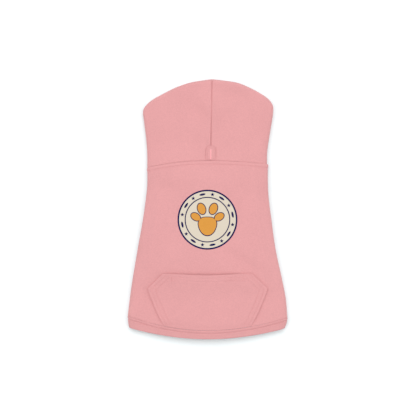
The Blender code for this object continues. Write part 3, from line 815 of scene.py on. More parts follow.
def cloth_grid(rows, closed=False, free=()):
    """A bmesh grid laid on rows of spots, with its flat cut as its UV map, pressed in or raised
    along its normals by each spot's relief. Also gives the places along its free sides."""
    mesh = bmesh.new()
    columns = len(rows[0]) - 1
    steps = len(rows) - 1
    bmesh.ops.create_grid(mesh, x_segments=columns, y_segments=steps, size=1)
    relief = mesh.verts.layers.float.new("relief")
    cut = mesh.loops.layers.uv.new("Cut")
    edge_verts = []
    for vert in mesh.verts:
        column = round((vert.co.x + 1) / 2 * columns)
        row = round((vert.co.y + 1) / 2 * steps)
        spot = rows[row][column]
        vert.co = spot.place
        vert[relief] = spot.relief
        for loop in vert.link_loops:
            loop[cut].uv = spot.plan
        on_side = {
            "low": row == 0,
            "high": row == steps,
            "left": column == 0,
            "right": column == columns,
        }
        if any(on_side[side] for side in free):
            edge_verts.append(vert)
    mesh.normal_update()
    if closed:
        seam_normals(mesh, columns)
    moves = [(vert, vert.normal * vert[relief]) for vert in mesh.verts]
    for vert, move in moves:
        vert.co += move
        vert.co.z = max(0.0, vert.co.z)
    rim = [vert.co.copy() for vert in edge_verts]
    if closed:
        bmesh.ops.remove_doubles(mesh, verts=mesh.verts, dist=0.02 * MM)
    mesh.verts.layers.float.remove(relief)
    mesh.normal_update()
    return mesh, rim


def seam_normals(mesh, columns):
    """Gives the two ends of each closed row one normal, so that they move alike."""
    mesh.verts.ensure_lookup_table()
    for first in range(0, len(mesh.verts), columns + 1):
        start, end = mesh.verts[first], mesh.verts[first + columns]
        shared = (start.normal + end.normal).normalized()
        start.normal = shared
        end.normal = shared


def new_piece(name, mesh, *looks):
    """An object at the origin that holds a finished bmesh."""
    data = bpy.data.meshes.new(name)
    mesh.to_mesh(data)
    mesh.free()
    piece = bpy.data.objects.new(name, data)
    bpy.context.scene.collection.objects.link(piece)
    for look in looks:
        data.materials.append(look)
    smooth_faces(data)
    return piece


def smooth_faces(data):
    data.shade_smooth()
    data.set_sharp_from_angle(angle=math.radians(50))


def bake(piece):
    """Replaces an object's mesh with what its modifiers make of it."""
    graph = bpy.context.evaluated_depsgraph_get()
    old = piece.data
    data = bpy.data.meshes.new_from_object(piece.evaluated_get(graph))
    piece.modifiers.clear()
    piece.data = data
    bpy.data.meshes.remove(old)
    data.name = piece.name


def walled(name, mesh, wall, looks, rim=(), rounding=0.0):
    """A piece of cloth with its wall on the inside, which takes the second look, and with its
    edges rounded along the rim."""
    piece = new_piece(name, mesh, *looks)
    solid = piece.modifiers.new("Wall", "SOLIDIFY")
    solid.thickness = wall
    solid.offset = -1
    solid.material_offset = 1
    bake(piece)
    if rim:
        round_rim(piece.data, rim, 1.6 * wall, rounding)
    smooth_faces(piece.data)
    return piece


def round_rim(data, rim, reach, rounding):
    """Rounds the sharp edges that lie within reach of the rim's places."""
    near = KDTree(len(rim))
    for i, place in enumerate(rim):
        near.insert(place, i)
    near.balance()
    mesh = bmesh.new()
    mesh.from_mesh(data)
    sharp = []
    for edge in mesh.edges:
        if len(edge.link_faces) == 2 and edge.calc_face_angle() > math.radians(55):
            middle = (edge.verts[0].co + edge.verts[1].co) / 2
            if near.find(middle)[2] < reach:
                sharp.append(edge)
    bmesh.ops.bevel(
        mesh,
        geom=sharp,
        offset=rounding,
        affect="EDGES",
        segments=3,
        profile=0.5,
        material=-1,
        clamp_overlap=True,
    )
    mesh.to_mesh(data)
    mesh.free()


def settle(piece, slot, *nodes):
    """Makes a piece ride on the garment and stand for solids, which it hides; its slot is not used.
    """
    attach(piece, BODY)
    if nodes:
        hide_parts(*nodes)
    return piece


def cut_with(piece, cutters):
    """Cuts finished cloth with other objects."""
    for cutter in cutters:
        boolean = piece.modifiers.new("Cut", "BOOLEAN")
        boolean.operation = "DIFFERENCE"
        boolean.object = cutter
    bake(piece)
    smooth_faces(piece.data)


def surface_of(*names):
    """A search tree over finished pieces, to lay stitches and print on."""
    mesh = bmesh.new()
    for name in names:
        mesh.from_mesh(bpy.data.objects[name].data)
    tree = BVHTree.FromBMesh(mesh)
    mesh.free()
    return tree


def back_rows(garment):
    lay, gauge = garment.lay, garment.seams.needle_gauge
    length = garment.neck_y - garment.band_y
    rows = []
    for run in steps_between(length - lay.seam_gap, 2.4 * MM, (0, length - gauge, length), reach=4):
        along = 1 - run / length
        halves = []
        for side in (-1, 1):
            rib = garment.body_rib(side, along)
            tops = even((rib.centre - rib.tip).length - rib.fold, TOP_STEPS)
            unders = even(lay.side_turn - rib.fold, TURN_STEPS)
            halves.append(half_row(garment, rib, tops, unders))
        rows.append(halves[0][::-1] + halves[1][1:])
    return rows


def belly_rows(garment):
    lay, gauge = garment.lay, garment.seams.needle_gauge
    length = garment.neck_y - garment.band_y
    rows = []
    for run in steps_between(length - lay.seam_gap, 3 * MM, (0, length - gauge, length), reach=4):
        along = 1 - run / length
        halves = []
        for side in (-1, 1):
            rib = garment.body_rib(side, along)
            edge = lay.side_turn + lay.seam_gap
            across = (rib.under - rib.tip).length - edge
            places = [garment.under_point(rib, edge + d) for d in even(across, BELLY_STEPS)]
            halves.append([Spot(place, place.xy, 0.0) for place in places])
        rows.append(halves[1] + halves[0][-2::-1])
    return rows


def hem_rows(garment):
    depth = garment.cut.hem_depth
    rows = []
    line = depth - HEM_LINE_SHARE * garment.seams.needle_gauge
    for run in steps_between(depth - garment.lay.seam_gap, 2.5 * MM, (line, depth), reach=4):
        down = 1 - run / depth
        halves = []
        for side in (-1, 1):
            rib = garment.hem_rib(side, down)
            tops = even((rib.centre - rib.tip).length - rib.fold, TOP_STEPS)
            unders = even((rib.under - rib.tip).length - rib.fold, HEM_UNDER_STEPS)
            halves.append(half_row(garment, rib, tops, unders))
        rows.append(halves[0][::-1] + halves[1][1:])
    return rows


def hood_rows(garment, side):
    """Rows of half a hood from the neck to the crown, finer beside its seams."""
    seam = steps_between(SEAM_MARGIN, 0.9 * MM, (0,), reach=4)
    rim = steps_between(FACE_MARGIN, 2.2 * MM, (3 * MM, 9 * MM), reach=2)
    length = garment.outlines[side].length
    rows = []
    for run in steps_between(length, 1.9 * MM, (0, length), reach=4):
        rib = garment.hood_rib(side, run / length)
        across = (rib.centre - rib.tip).length - rib.fold
        tops = seam[:-1] + [seam[-1] + d for d in even(across - seam[-1], HOOD_TOP_STEPS)]
        under = (rib.under - rib.tip).length - rib.fold - rim[-1]
        unders = even(under, HOOD_UNDER_STEPS)[:-1] + [under + place for place in rim]
        row = half_row(garment, rib, tops, unders)
        rows.append(row if side > 0 else row[::-1])
    return rows


def seam_relief(garment, distance, place):
    """Ditch at a seam, the ridge of the allowance behind it and the row of stitches."""
    seams = garment.seams
    ridge = seams.ridge * smooth(distance / RIDGE_RAMP)
    ridge *= 1 - smooth((distance - seams.needle_gauge + RIDGE_EDGE) / RIDGE_FADE)
    stitches = 0.6 * garment.stitch_line(distance - seams.needle_gauge)
    puckers = garment.pucker(distance, place.x)
    return garment.ditch(distance, place, seams.flat_seam) + ridge + stitches + puckers


def loop_points(half_width, half_depth, count):
    """A flattened loop, as evenly spaced pairs across and down, from its right-hand end."""
    end_reach = min(half_depth, 0.9 * half_width)
    straight = half_width - end_reach
    corners = []
    for side in (1, -1):
        for angle in even(math.pi, 32):
            across = side * (straight + end_reach * math.sin(angle))
            corners.append(Vector((across, side * half_depth * math.cos(angle))))
    corners.append(corners[0])
    lengths = [0.0]
    for start, end in zip(corners, corners[1:]):
        lengths.append(lengths[-1] + (end - start).length)
    points = []
    for step in range(count):
        length = lengths[-1] * (step / count + 0.25) % lengths[-1]
        i = min(len(corners) - 2, bisect.bisect_right(lengths, length) - 1)
        share = (length - lengths[i]) / max(lengths[i + 1] - lengths[i], MM / 1000)
        points.append(mix(corners[i], corners[i + 1], share))
    return points


def tube_rows(garment, side, sections, count):
    """Rows round a tube through flattened sections, with the tube's unrolled cloth as its cut."""
    rows = []
    along = 0.0
    for i, section in enumerate(sections):
        middle = (section.near + section.far) / 2
        half = (section.far - section.near) / 2
        if i:
            before = (sections[i - 1].near + sections[i - 1].far) / 2
            along += (middle - before).length
        row = []
        points = loop_points(section.half_width, half.length, count)
        for step, point in enumerate(points + points[:1]):
            place = middle + half.normalized() * point.y
            spot = Vector((side * garment.sleeve_centre + point.x, place.x, place.y))
            row.append(Spot(spot, Vector((step / count * SLEEVE_GIRTH, along)), 0.0))
        rows.append(row)
    return rows


def sleeve_sections(garment):
    """Sections of a sleeve that leaves its armhole downwards and turns back under the belly."""
    details = garment.details
    ease = 0.5 * MM
    bend = ease + details.sleeve_clearance
    pivot = Vector((garment.armhole_back - details.sleeve_clearance, garment.belly_lift + ease))
    front = garment.armhole_front - ease
    sections = []
    for share in even(1.0, 16):
        angle = share * math.pi / 2
        near = pivot + bend * Vector((math.cos(angle), -math.sin(angle)))
        turn = min(1.0, 2 * share) * math.pi / 2
        bottom = front - pivot.y * (1 - math.cos(turn))
        far_y = mix(bottom, pivot.x, max(0.0, 2 * share - 1))
        far = Vector((far_y, pivot.y * (1 - math.sin(turn))))
        start = details.armhole_width / 2 - ease
        half_width = mix(start, details.sleeve_width / 2, smooth(share))
        sections.append(Section(near, far, half_width))
    for share in even(1.0, 22)[1:]:
        y = mix(pivot.x, garment.wrist_y, share)
        half_width = mix(details.sleeve_width, details.wrist_width, share) / 2
        top = Vector((y, details.sleeve_height))
        sections.append(Section(top, Vector((y, 0.0)), half_width))
    return sections


def cuff_sections(garment):
    sections = []
    length = garment.details.cuff_length
    for run in steps_between(length - garment.lay.seam_gap, 2.2 * MM, (length,))[::-1]:
        top = Vector((garment.cuff_end + run, garment.details.sleeve_height))
        low = Vector((garment.cuff_end + run, 0.0))
        sections.append(Section(top, low, garment.details.cuff_width / 2))
    return sections


def pocket_foot(garment, x):
    """Where the pocket's foot meets the hem band."""
    band = tilt(x, garment.cut.band_tilt)
    arch = 1 - (2 * x / garment.cut.hem_width) ** 2
    foot = garment.band_y + band - (garment.band_drop + band) * arch
    return foot + garment.lay.seam_gap


class PocketEdges:
    """The pocket's outline: a slanted shoulder and a bowed flank on each side."""

    def __init__(self, garment):
        details = garment.details
        self.garment = garment
        self.bow = details.pocket_bow
        self.mouth_y = garment.band_y - garment.band_drop + details.pocket_depth
        mouth = Vector((details.pocket_mouth / 2, self.mouth_y))
        wide = Vector((details.pocket_width / 2, self.mouth_y - details.pocket_shoulder))
        foot_x = details.pocket_foot / 2
        foot = Vector((foot_x, pocket_foot(garment, foot_x)))
        self.sides = ((mouth, wide, 0.0), (wide, foot, self.bow))

    def reach(self, y, inset):
        """Half the pocket's width at this height, inset squarely from both edges."""
        reaches = []
        for start, end, bow in self.sides:
            run = (end - start).normalized()
            share = min(1.0, max(0.0, (y - start.y) / (end.y - start.y)))
            x = start.x + (y - start.y) * run.x / run.y + 4 * bow * share * (1 - share)
            reaches.append(x - inset / abs(run.y))
        return min(reaches)

    def inset(self, x, y):
        """How far a place lies from the nearer edge."""
        insets = []
        for start, end, bow in self.sides:
            run = (end - start).normalized()
            share = min(1.0, max(0.0, (y - start.y) / (end.y - start.y)))
            away = Vector((abs(x) - 4 * bow * share * (1 - share), y)) - start
            insets.append(abs(away.x * run.y - away.y * run.x))
        return min(insets)

    def sag(self, x):
        """How far the mouth hangs down at this place."""
        share = 2 * x / self.garment.details.pocket_mouth
        return self.garment.details.mouth_sag * max(0.0, 1 - share * share) ** 2


def mouth_hollow(edges, place):
    """The back sinks a little just behind the pocket's mouth."""
    if edges.garment.level(place) < 0.5:
        return 0.0
    away = place.y - edges.mouth_y + edges.sag(place.x) - HOLLOW_ABOVE
    span = smooth((HOLLOW_REACH - abs(place.x - HOLLOW_MIDDLE)) / HOLLOW_FADE)
    return edges.garment.details.mouth_hollow * bell(away, HOLLOW_WIDTH) * span


def foot_hollow(edges, place, seam):
    """The back sinks under the pocket's foot, which lies level with the hem band."""
    if edges.garment.level(place) < 0.5:
        return 0.0
    foot = edges.garment.details.pocket_foot / 2
    span = smooth((foot + FOOT_OVERRUN - abs(place.x)) / FOOT_FADE)
    return groove(seam, BACK_UNDER_FOOT) * span


def pocket_rows(garment):
    """Rows of the pocket from its foot to its mouth, finer along its rows of stitches."""
    edges = PocketEdges(garment)
    details, lay = garment.details, garment.lay
    depth = details.pocket_depth - lay.seam_gap
    band = steps_between(POCKET_MARGIN, 2 * MM, POCKET_LINES)
    lines = MOUTH_LINES + (details.pocket_shoulder,)
    columns = [(inset, 1.0) for inset in band[:-1]]
    columns += [(band[-1], 1 - share) for share in even(1.0, POCKET_STEPS)]
    even_depth = 45 * MM
    rows = []
    for down in steps_between(depth, 2.2 * MM, lines):
        row = []
        for side in (-1, 1):
            half = []
            for inset, share in columns:
                y = edges.mouth_y - down
                for _ in range(3):
                    x = side * share * edges.reach(y, inset)
                    total = edges.mouth_y - pocket_foot(garment, x)
                    spare = (total - depth) * smooth((down - even_depth) / (depth - even_depth))
                    y = edges.mouth_y - down - spare - edges.sag(x) * (1 - down / depth) ** 4
                across = 2 * x / details.pocket_width
                gape = details.pocket_gape * (1 - across**2) ** 2 * (1 - smooth(down / depth))
                height = garment.back_height(x, y) + lay.lay_gap + gape + lay.wall
                half.append(Spot(Vector((x, y, height)), Vector((x, y)), 0.0))
            row.append(half)
        rows.append(row[0] + row[1][-2::-1])
    return rows[::-1]


def patch_rows(garment):
    """Rows of the arched leash patch, from its foot upwards."""
    details = garment.details
    reach = details.patch_width / 2
    rows = []
    for share in even(1.0, 22):
        row = []
        for across in (reach * (2 * step - 1) for step in even(1.0, 20)):
            top = details.patch_length - reach + math.sqrt(max(0.0, reach**2 - across**2))
            y = garment.patch_foot + top * share
            x = garment.seam_x(y) + across
            height = garment.seam_height(x, y) + garment.lay.lay_gap + details.patch_wall
            row.append(Spot(Vector((x, y, height)), Vector((x, y)), 0.0))
        rows.append(row)
    return rows


def patch_edge(garment, place):
    """How far a place on the hood lies outside the edge of the leash patch."""
    details = garment.details
    reach = details.patch_width / 2
    rise = place.y - garment.patch_foot - details.patch_length + reach
    across = place.x - garment.seam_x(place.y)
    return math.hypot(across, max(0.0, rise)) - reach


def prism(name, outline, low, high):
    """A straight-sided cutter over a flat outline."""
    mesh = bmesh.new()
    verts = [mesh.verts.new((point.x, point.y, low)) for point in outline]
    face = mesh.faces.new(verts)
    walls = bmesh.ops.extrude_face_region(mesh, geom=[face])
    top = [item for item in walls["geom"] if isinstance(item, bmesh.types.BMVert)]
    bmesh.ops.translate(mesh, verts=top, vec=(0, 0, high - low))
    bmesh.ops.recalc_face_normals(mesh, faces=mesh.faces)
    return new_piece(name, mesh)


def slit_cutter(garment):
    details = garment.details
    middle = garment.slit_start + details.slit_length / 2
    outline = []
    for point in loop_points(details.slit_length / 2, details.slit_width / 2, 40):
        outline.append(Vector((garment.seam_x(middle) + point.y, middle + point.x)))
    height = garment.seam_height(garment.seam_x(middle), middle)
    return prism("slit_cutter", outline, height - SLIT_CUT_BELOW, height + SLIT_CUT_ABOVE)


def armhole_cutter(garment, side):
    details = garment.details
    middle = (garment.armhole_front + garment.armhole_back) / 2
    outline = []
    for point in loop_points(details.armhole_width / 2, details.armhole_length / 2, 64):
        outline.append(Vector((side * garment.sleeve_centre + point.x, middle + point.y)))
    lift = garment.belly_lift
    return prism("armhole_cutter", outline, lift - 3 * MM, lift + 3 * garment.lay.wall)


class Threads:
    """Stitches that lie on finished pieces, gathered into one object of round threads."""

    def __init__(self, name, thickness, *pieces):
        self.thickness = thickness
        self.tree = surface_of(*pieces)
        self.curve = bpy.data.curves.new(name, "CURVE")
        self.curve.dimensions = "3D"
        self.curve.fill_mode = "FULL"
        self.curve.bevel_depth = thickness / 2
        self.curve.bevel_resolution = 1
        self.curve.use_fill_caps = True

    def lay(self, start, end, arch=0.6):
        """One stitch from place to place, sunk at its ends and arched between them."""
        spline = self.curve.splines.new("POLY")
        spline.points.add(len(STITCH_STEPS) - 1)
        for point, share in zip(spline.points, STITCH_STEPS):
            place, normal, _, _ = self.tree.find_nearest(mix(start, end, share))
            height = self.thickness * (arch if 0.1 < share < 0.9 else -0.4)
            point.co = (*(place + normal * height), 1.0)

    def sew(self, line, pitch, length):
        """A row of stitches along a line of places."""
        lengths = [0.0]
        for start, end in zip(line, line[1:]):
            lengths.append(lengths[-1] + (end - start).length)

        def at(run):
            i = min(len(line) - 2, max(0, bisect.bisect_right(lengths, run) - 1))
            return mix(line[i], line[i + 1], (run - lengths[i]) / (lengths[i + 1] - lengths[i]))

        count = max(1, round(lengths[-1] / pitch))
        step = lengths[-1] / count
        for i in range(count):
            run = (i + 0.5) * step
            self.lay(at(run - length / 2), at(run + length / 2))

    def finish(self, look, slot):
        """Turns the threads into a mesh of their own that rides on the garment."""
        name = self.curve.name
        carrier = bpy.data.objects.new(name + "_curve", self.curve)
        bpy.context.scene.collection.objects.link(carrier)
        graph = bpy.context.evaluated_depsgraph_get()
        data = bpy.data.meshes.new_from_object(carrier.evaluated_get(graph))
        bpy.data.objects.remove(carrier)
        data.name = name
        data.materials.clear()
        data.materials.append(look)
        data.shade_smooth()
        piece = bpy.data.objects.new(name, data)
        bpy.context.scene.collection.objects.link(piece)
        return settle(piece, slot)


class Look:
    """A material with the nodes of its cloth."""

    def __init__(self, name, roughness, sheen):
        self.material = bpy.data.materials.new(name)
        self.material.use_nodes = True
        self.tree = self.material.node_tree
        self.shader = self.tree.nodes["Principled BSDF"]
        self.shader.inputs["Roughness"].default_value = roughness
        self.shader.inputs["Sheen Weight"].default_value = sheen
        self.shader.inputs["Sheen Roughness"].default_value = 0.6
        self.shader.inputs["Specular IOR Level"].default_value = 0.15

    def link(self, source, socket):
        if isinstance(source, (int, float)):
            socket.default_value = source
        else:
            self.tree.links.new(source, socket)

    def math(self, operation, first, second=0.0):
        node = self.tree.nodes.new("ShaderNodeMath")
        node.operation = operation
        self.link(first, node.inputs[0])
        self.link(second, node.inputs[1])
        return node.outputs[0]

    def noise(self, scale, detail=2.0):
        """Noise of this many waves a metre, from 0 to 1."""
        coordinates = self.tree.nodes.new("ShaderNodeTexCoord")
        node = self.tree.nodes.new("ShaderNodeTexNoise")
        node.inputs["Scale"].default_value = scale
        node.inputs["Detail"].default_value = detail
        self.tree.links.new(coordinates.outputs["Object"], node.inputs["Vector"])
        return node.outputs["Fac"]

    def knit(self, wale, course):
        """Height of plain knitting: upright wales whose loops lean in turn."""
        uv = self.tree.nodes.new("ShaderNodeUVMap")
        uv.uv_map = "Cut"
        split = self.tree.nodes.new("ShaderNodeSeparateXYZ")
        self.tree.links.new(uv.outputs["UV"], split.inputs["Vector"])
        across = self.math("MULTIPLY", split.outputs["X"], 1 / wale)
        up = self.math("MULTIPLY", split.outputs["Y"], 1 / course)
        lean = self.math("PINGPONG", across, 0.5)
        loops = self.math("SINE", self.math("MULTIPLY", self.math("ADD", up, lean), math.tau))
        rib = self.math("ABSOLUTE", self.math("SINE", self.math("MULTIPLY", across, math.pi)))
        return self.math("ADD", rib, self.math("MULTIPLY", loops, 0.35))

    def tint(self, colour, amounts):
        """Colours the cloth, made lighter and darker by (source, amount) pairs."""
        level = 1.0
        for source, amount in amounts:
            swing = self.math("MULTIPLY", self.math("SUBTRACT", source, 0.5), 2 * amount)
            level = self.math("ADD", level, swing)
        scale = self.tree.nodes.new("ShaderNodeVectorMath")
        scale.operation = "SCALE"
        scale.inputs[0].default_value = colour
        self.link(level, scale.inputs["Scale"])
        self.tree.links.new(scale.outputs["Vector"], self.shader.inputs["Base Color"])

    def bump(self, height, distance):
        node = self.tree.nodes.new("ShaderNodeBump")
        node.inputs["Strength"].default_value = 1.0
        node.inputs["Distance"].default_value = distance
        self.link(height, node.inputs["Height"])
        self.tree.links.new(node.outputs["Normal"], self.shader.inputs["Normal"])


def made_once(name, maker):
    """A material by name, made the first time that it is asked for."""
    return bpy.data.materials.get(name) or maker(name).material


def fleece_look(name="fleece_knit", painted_shade_factor=1.0):
    def make(name):
        look = Look(name, 0.92, 0.08)
        knit = look.knit(1.1 * MM, 0.85 * MM)
        # A shade below 1 darkens the whole colour: painted shade, as on the hem band.
        colour = tuple(painted_shade_factor * level for level in settings("hoodie_colours").fleece)
        look.tint(colour, ((look.noise(22, 3), 0.04), (look.noise(420, 3), 0.10)))
        grain = look.math("MULTIPLY", look.noise(1500, 2), 0.6)
        look.bump(look.math("ADD", knit, grain), 0.12 * MM)
        return look

    return made_once(name, make)


def inside_look():
    def make(name):
        look = Look(name, 0.95, 0.45)
        nap = look.noise(650, 5)
        look.tint(settings("hoodie_colours").inside, ((look.noise(30), 0.03), (nap, 0.10)))
        look.bump(nap, 0.5 * MM)
        return look

    return made_once("brushed_inside", make)


def ribbing_look():
    def make(name):
        look = Look(name, 0.90, 0.2)
        knit = look.knit(0.75 * MM, 0.85 * MM)
        look.tint(settings("hoodie_colours").ribbing, ((look.noise(420, 3), 0.10),))
        look.bump(knit, 0.12 * MM)
        return look

    return made_once("ribbing_knit", make)


def thread_look(name, colour, roughness=0.6):
    def make(name):
        look = Look(name, roughness, 0.1)
        look.tint(getattr(settings("hoodie_colours"), colour), ((look.noise(900, 1), 0.05),))
        look.bump(look.noise(2400, 1), 0.05 * MM)
        return look

    return made_once(name, make)


def ink_look(name, colour):
    def make(name):
        look = Look(name, 0.62, 0.0)
        look.tint(getattr(settings("hoodie_colours"), colour), ((look.noise(500, 2), 0.04),))
        look.bump(look.noise(900, 2), 0.05 * MM)
        return look

    return made_once(name, make)


class HOODIE_OT_back(bpy.types.Operator):
    """Cuts the back, which wraps round the sides"""

    bl_idname = "hoodie.back"
    bl_label = "Back"

    def execute(self, context):
        garment = Garment()
        flat_seam = garment.seams.flat_seam
        edges = PocketEdges(garment)

        def relief(place, reach):
            total = garment.ripple(place) + garment.ditch(reach.low, place, flat_seam)
            total += seam_relief(garment, reach.high, place)
            total -= mouth_hollow(edges, place) + foot_hollow(edges, place, reach.low)
            return total + garment.ditch(reach.left) + garment.ditch(reach.right)

        mesh, _ = cloth_grid(press(back_rows(garment), relief))
        piece = walled("back_cloth", mesh, garment.lay.wall, (fleece_look(), inside_look()))
        settle(piece, "fleece", "back_panel")
        return {"FINISHED"}


class HOODIE_OT_belly(bpy.types.Operator):
    """Cuts the belly, with a hole for each sleeve"""

    bl_idname = "hoodie.belly"
    bl_label = "Belly"

    def execute(self, context):
        garment = Garment()

        def relief(place, reach):
            total = garment.ditch(reach.low, place) + seam_relief(garment, reach.high, place)
            total += garment.ditch(reach.left) + garment.ditch(reach.right)
            return min(0.0, total) - abs(garment.ripple(place))

        mesh, _ = cloth_grid(press(belly_rows(garment), relief))
        piece = walled("belly_cloth", mesh, garment.lay.wall, (fleece_look(), inside_look()))
        cutters = [armhole_cutter(garment, side) for side in (-1, 1)]
        cut_with(piece, cutters)
        for cutter in cutters:
            bpy.data.objects.remove(cutter)
        settle(piece, "fleece", "belly_panel")
        return {"FINISHED"}


class HOODIE_OT_hem(bpy.types.Operator):
    """Folds the doubled band round the hem"""

    bl_idname = "hoodie.hem"
    bl_label = "Hem band"

    def execute(self, context):
        garment = Garment()
        line = HEM_LINE_SHARE * garment.seams.needle_gauge

        def relief(place, reach):
            total = garment.ditch(reach.high, place, 0.5 * garment.seams.flat_seam)
            total += 1.3 * garment.stitch_line(reach.high - line)
            total += garment.pucker(reach.high - line, place.x)
            total += HEM_RIDGE * bell(reach.high - HEM_RIDGE_PLACE, HEM_RIDGE_WIDTH)
            return total + 0.6 * garment.ripple(place)

        mesh, rim = cloth_grid(press(hem_rows(garment), relief), closed=True, free=("low",))
        # The hem band is the fleece darkened to 0.95: painted shade for the duller light on the
        # band, not a different cloth.
        looks = (fleece_look("hem_knit", 0.95),) * 2
        piece = walled("hem_cloth", mesh, garment.lay.hem_wall, looks, rim, rounding=1.4 * MM)
        settle(piece, "hem_fleece", "hem_band")
        return {"FINISHED"}


class HOODIE_OT_hood(bpy.types.Operator):
    """Cuts both halves of the hood"""

    bl_idname = "hoodie.hood"
    bl_label = "Hood"

    def execute(self, context):
        garment = Garment()
        cutter = slit_cutter(garment)
        for side, word in ((-1, "left"), (1, "right")):
            self.make_half(garment, side, word, cutter)
        bpy.data.objects.remove(cutter)
        return {"FINISHED"}

    def make_half(self, garment, side, word, cutter):
        top = 2 * garment.lay.side_fold
        seams = garment.seams

        def relief(place, reach):
            rim = reach.right if side > 0 else reach.left
            seam = garment.seam_x(place.y if place.z > top / 2 else garment.crown_y)
            total = garment.ripple(place) + garment.ditch(reach.low, place, seams.flat_seam)
            total += garment.ditch(place.x - seam, place, seams.centre_seam)
            if place.z > top / 2:
                total += garment.ditch(patch_edge(garment, place), share=0.4)
            return total + sum(garment.stitch_line(rim - line) for line in FACE_LINES)

        rows = press(hood_rows(garment, side), relief)
        mesh, rim = cloth_grid(rows, free=("right" if side > 0 else "left",))
        looks = (fleece_look(), inside_look())
        name = "hood_cloth_" + word
        piece = walled(name, mesh, garment.lay.wall, looks, rim, rounding=0.9 * MM)
        cut_with(piece, [cutter])
        settle(piece, "fleece", "hood_" + word)


class HOODIE_OT_patch(bpy.types.Operator):
    """Lays the leash patch over the hood's seam and binds its slit"""

    bl_idname = "hoodie.patch"
    bl_label = "Leash patch"

    def execute(self, context):
        garment = Garment()

        def relief(place, reach):
            edge = min(reach.high, reach.left, reach.right)
            total = garment.ripple(place) - groove(edge, PATCH_EDGE)
            total -= groove(reach.low, PATCH_FOOT)
            return total + garment.stitch_line(edge - PATCH_LINE)

        free = ("low", "high", "left", "right")
        mesh, rim = cloth_grid(press(patch_rows(garment), relief), free=free)
        looks = (fleece_look(), fleece_look())
        wall = garment.details.patch_wall
        piece = walled("patch_cloth", mesh, wall, looks, rim, rounding=0.35 * MM)
        cutter = slit_cutter(garment)
        cut_with(piece, [cutter])
        bpy.data.objects.remove(cutter)
        settle(piece, "patch_fleece", "leash_patch")
        self.bind_slit(garment)
        return {"FINISHED"}

    def bind_slit(self, garment):
        """Satin stitches that wrap the edges of the slit from both sides."""
        details = garment.details
        threads = Threads("slit_binding", SATIN_THREAD, "patch_cloth")
        start = garment.slit_start
        reach = details.slit_width / 2 + details.binding_width
        for run in steps_between(details.slit_length + 2 * SATIN_OVERRUN, SATIN_PITCH):
            y = start - SATIN_OVERRUN + run
            beyond = max(0.0, start - y, y - start - details.slit_length)
            outer = reach * math.sqrt(max(0.05, 1 - (beyond / SATIN_END) ** 2))
            x = garment.seam_x(y)
            height = garment.seam_height(x, y) + details.patch_wall + garment.lay.lay_gap
            for side in (-1, 1):
                spline = threads.curve.splines.new("POLY")
                spline.points.add(len(SATIN_STEPS) - 1)
                for point, share in zip(spline.points, SATIN_STEPS):
                    rise = (0.45 * math.sin(math.pi * share) + 0.05) * MM
                    across = mix(outer, SATIN_INNER, share)
                    point.co = (x + side * across, y, height + rise, 1.0)
        threads.finish(thread_look("satin", "binding", 0.4), "patch_fleece")


class HOODIE_OT_pocket(bpy.types.Operator):
    """Lays the pouch pocket on the back"""

    bl_idname = "hoodie.pocket"
    bl_label = "Pocket"

    def execute(self, context):
        garment = Garment()
        edges = PocketEdges(garment)

        def relief(place, reach):
            inset = edges.inset(place.x, place.y)
            total = garment.ripple(place) - groove(inset, POCKET_EDGE)
            total -= groove(reach.low, POCKET_FOOT)
            total += 0.45 * sum(garment.stitch_line(inset - line) for line in POCKET_LINES)
            if abs(place.x) < MOUTH_PRESS_REACH:
                lines = sum(garment.stitch_line(reach.high - line) for line in MOUTH_LINES)
                total += 0.45 * lines
            return total + garment.pucker(inset - POCKET_LINES[0], place.y)

        free = ("low", "high", "left", "right")
        mesh, rim = cloth_grid(press(pocket_rows(garment), relief), free=free)
        looks = (fleece_look(), inside_look())
        piece = walled("pocket_cloth", mesh, garment.lay.wall, looks, rim, rounding=0.35 * MM)
        settle(piece, "pocket_fleece", "pocket")
        return {"FINISHED"}


class HOODIE_OT_sleeves(bpy.types.Operator):
    """Folds the two sleeves back under the belly and knits their cuffs"""

    bl_idname = "hoodie.sleeves"
    bl_label = "Sleeves and cuffs"

    def execute(self, context):
        garment = Garment()
        details = garment.details
        for side, word in ((-1, "left"), (1, "right")):
            rows = tube_rows(garment, side, sleeve_sections(garment), SLEEVE_STEPS)

            def relief(place, reach):
                spot = Vector((place.x / CREASE_ACROSS, place.y / CREASE_ALONG, side * 3.3))
                fade = smooth(reach.low / CREASE_FADE_FRONT) * smooth(reach.high / CREASE_FADE_CUFF)
                return garment.ditch(reach.high) - CREASE_DEPTH * (0.6 + noise.noise(spot)) * fade

            mesh, _ = cloth_grid(press(rows, relief), closed=True)
            looks = (fleece_look(), inside_look())
            piece = walled("sleeve_cloth_" + word, mesh, garment.lay.wall, looks)
            settle(piece, "fleece", "sleeve_" + word)
            rows = tube_rows(garment, side, cuff_sections(garment), CUFF_STEPS)

            def rib_relief(place, reach):
                wave = 0.5 - 0.5 * math.cos(math.tau * reach.left / details.rib_pitch)
                return garment.ditch(reach.low) - details.rib_depth * wave

            mesh, rim = cloth_grid(press(rows, rib_relief), closed=True, free=("high",))
            looks = (ribbing_look(), ribbing_look())
            name = "cuff_rib_" + word
            piece = walled(name, mesh, details.cuff_wall, looks, rim, rounding=0.9 * MM)
            settle(piece, "ribbing", "cuff_" + word)
        return {"FINISHED"}


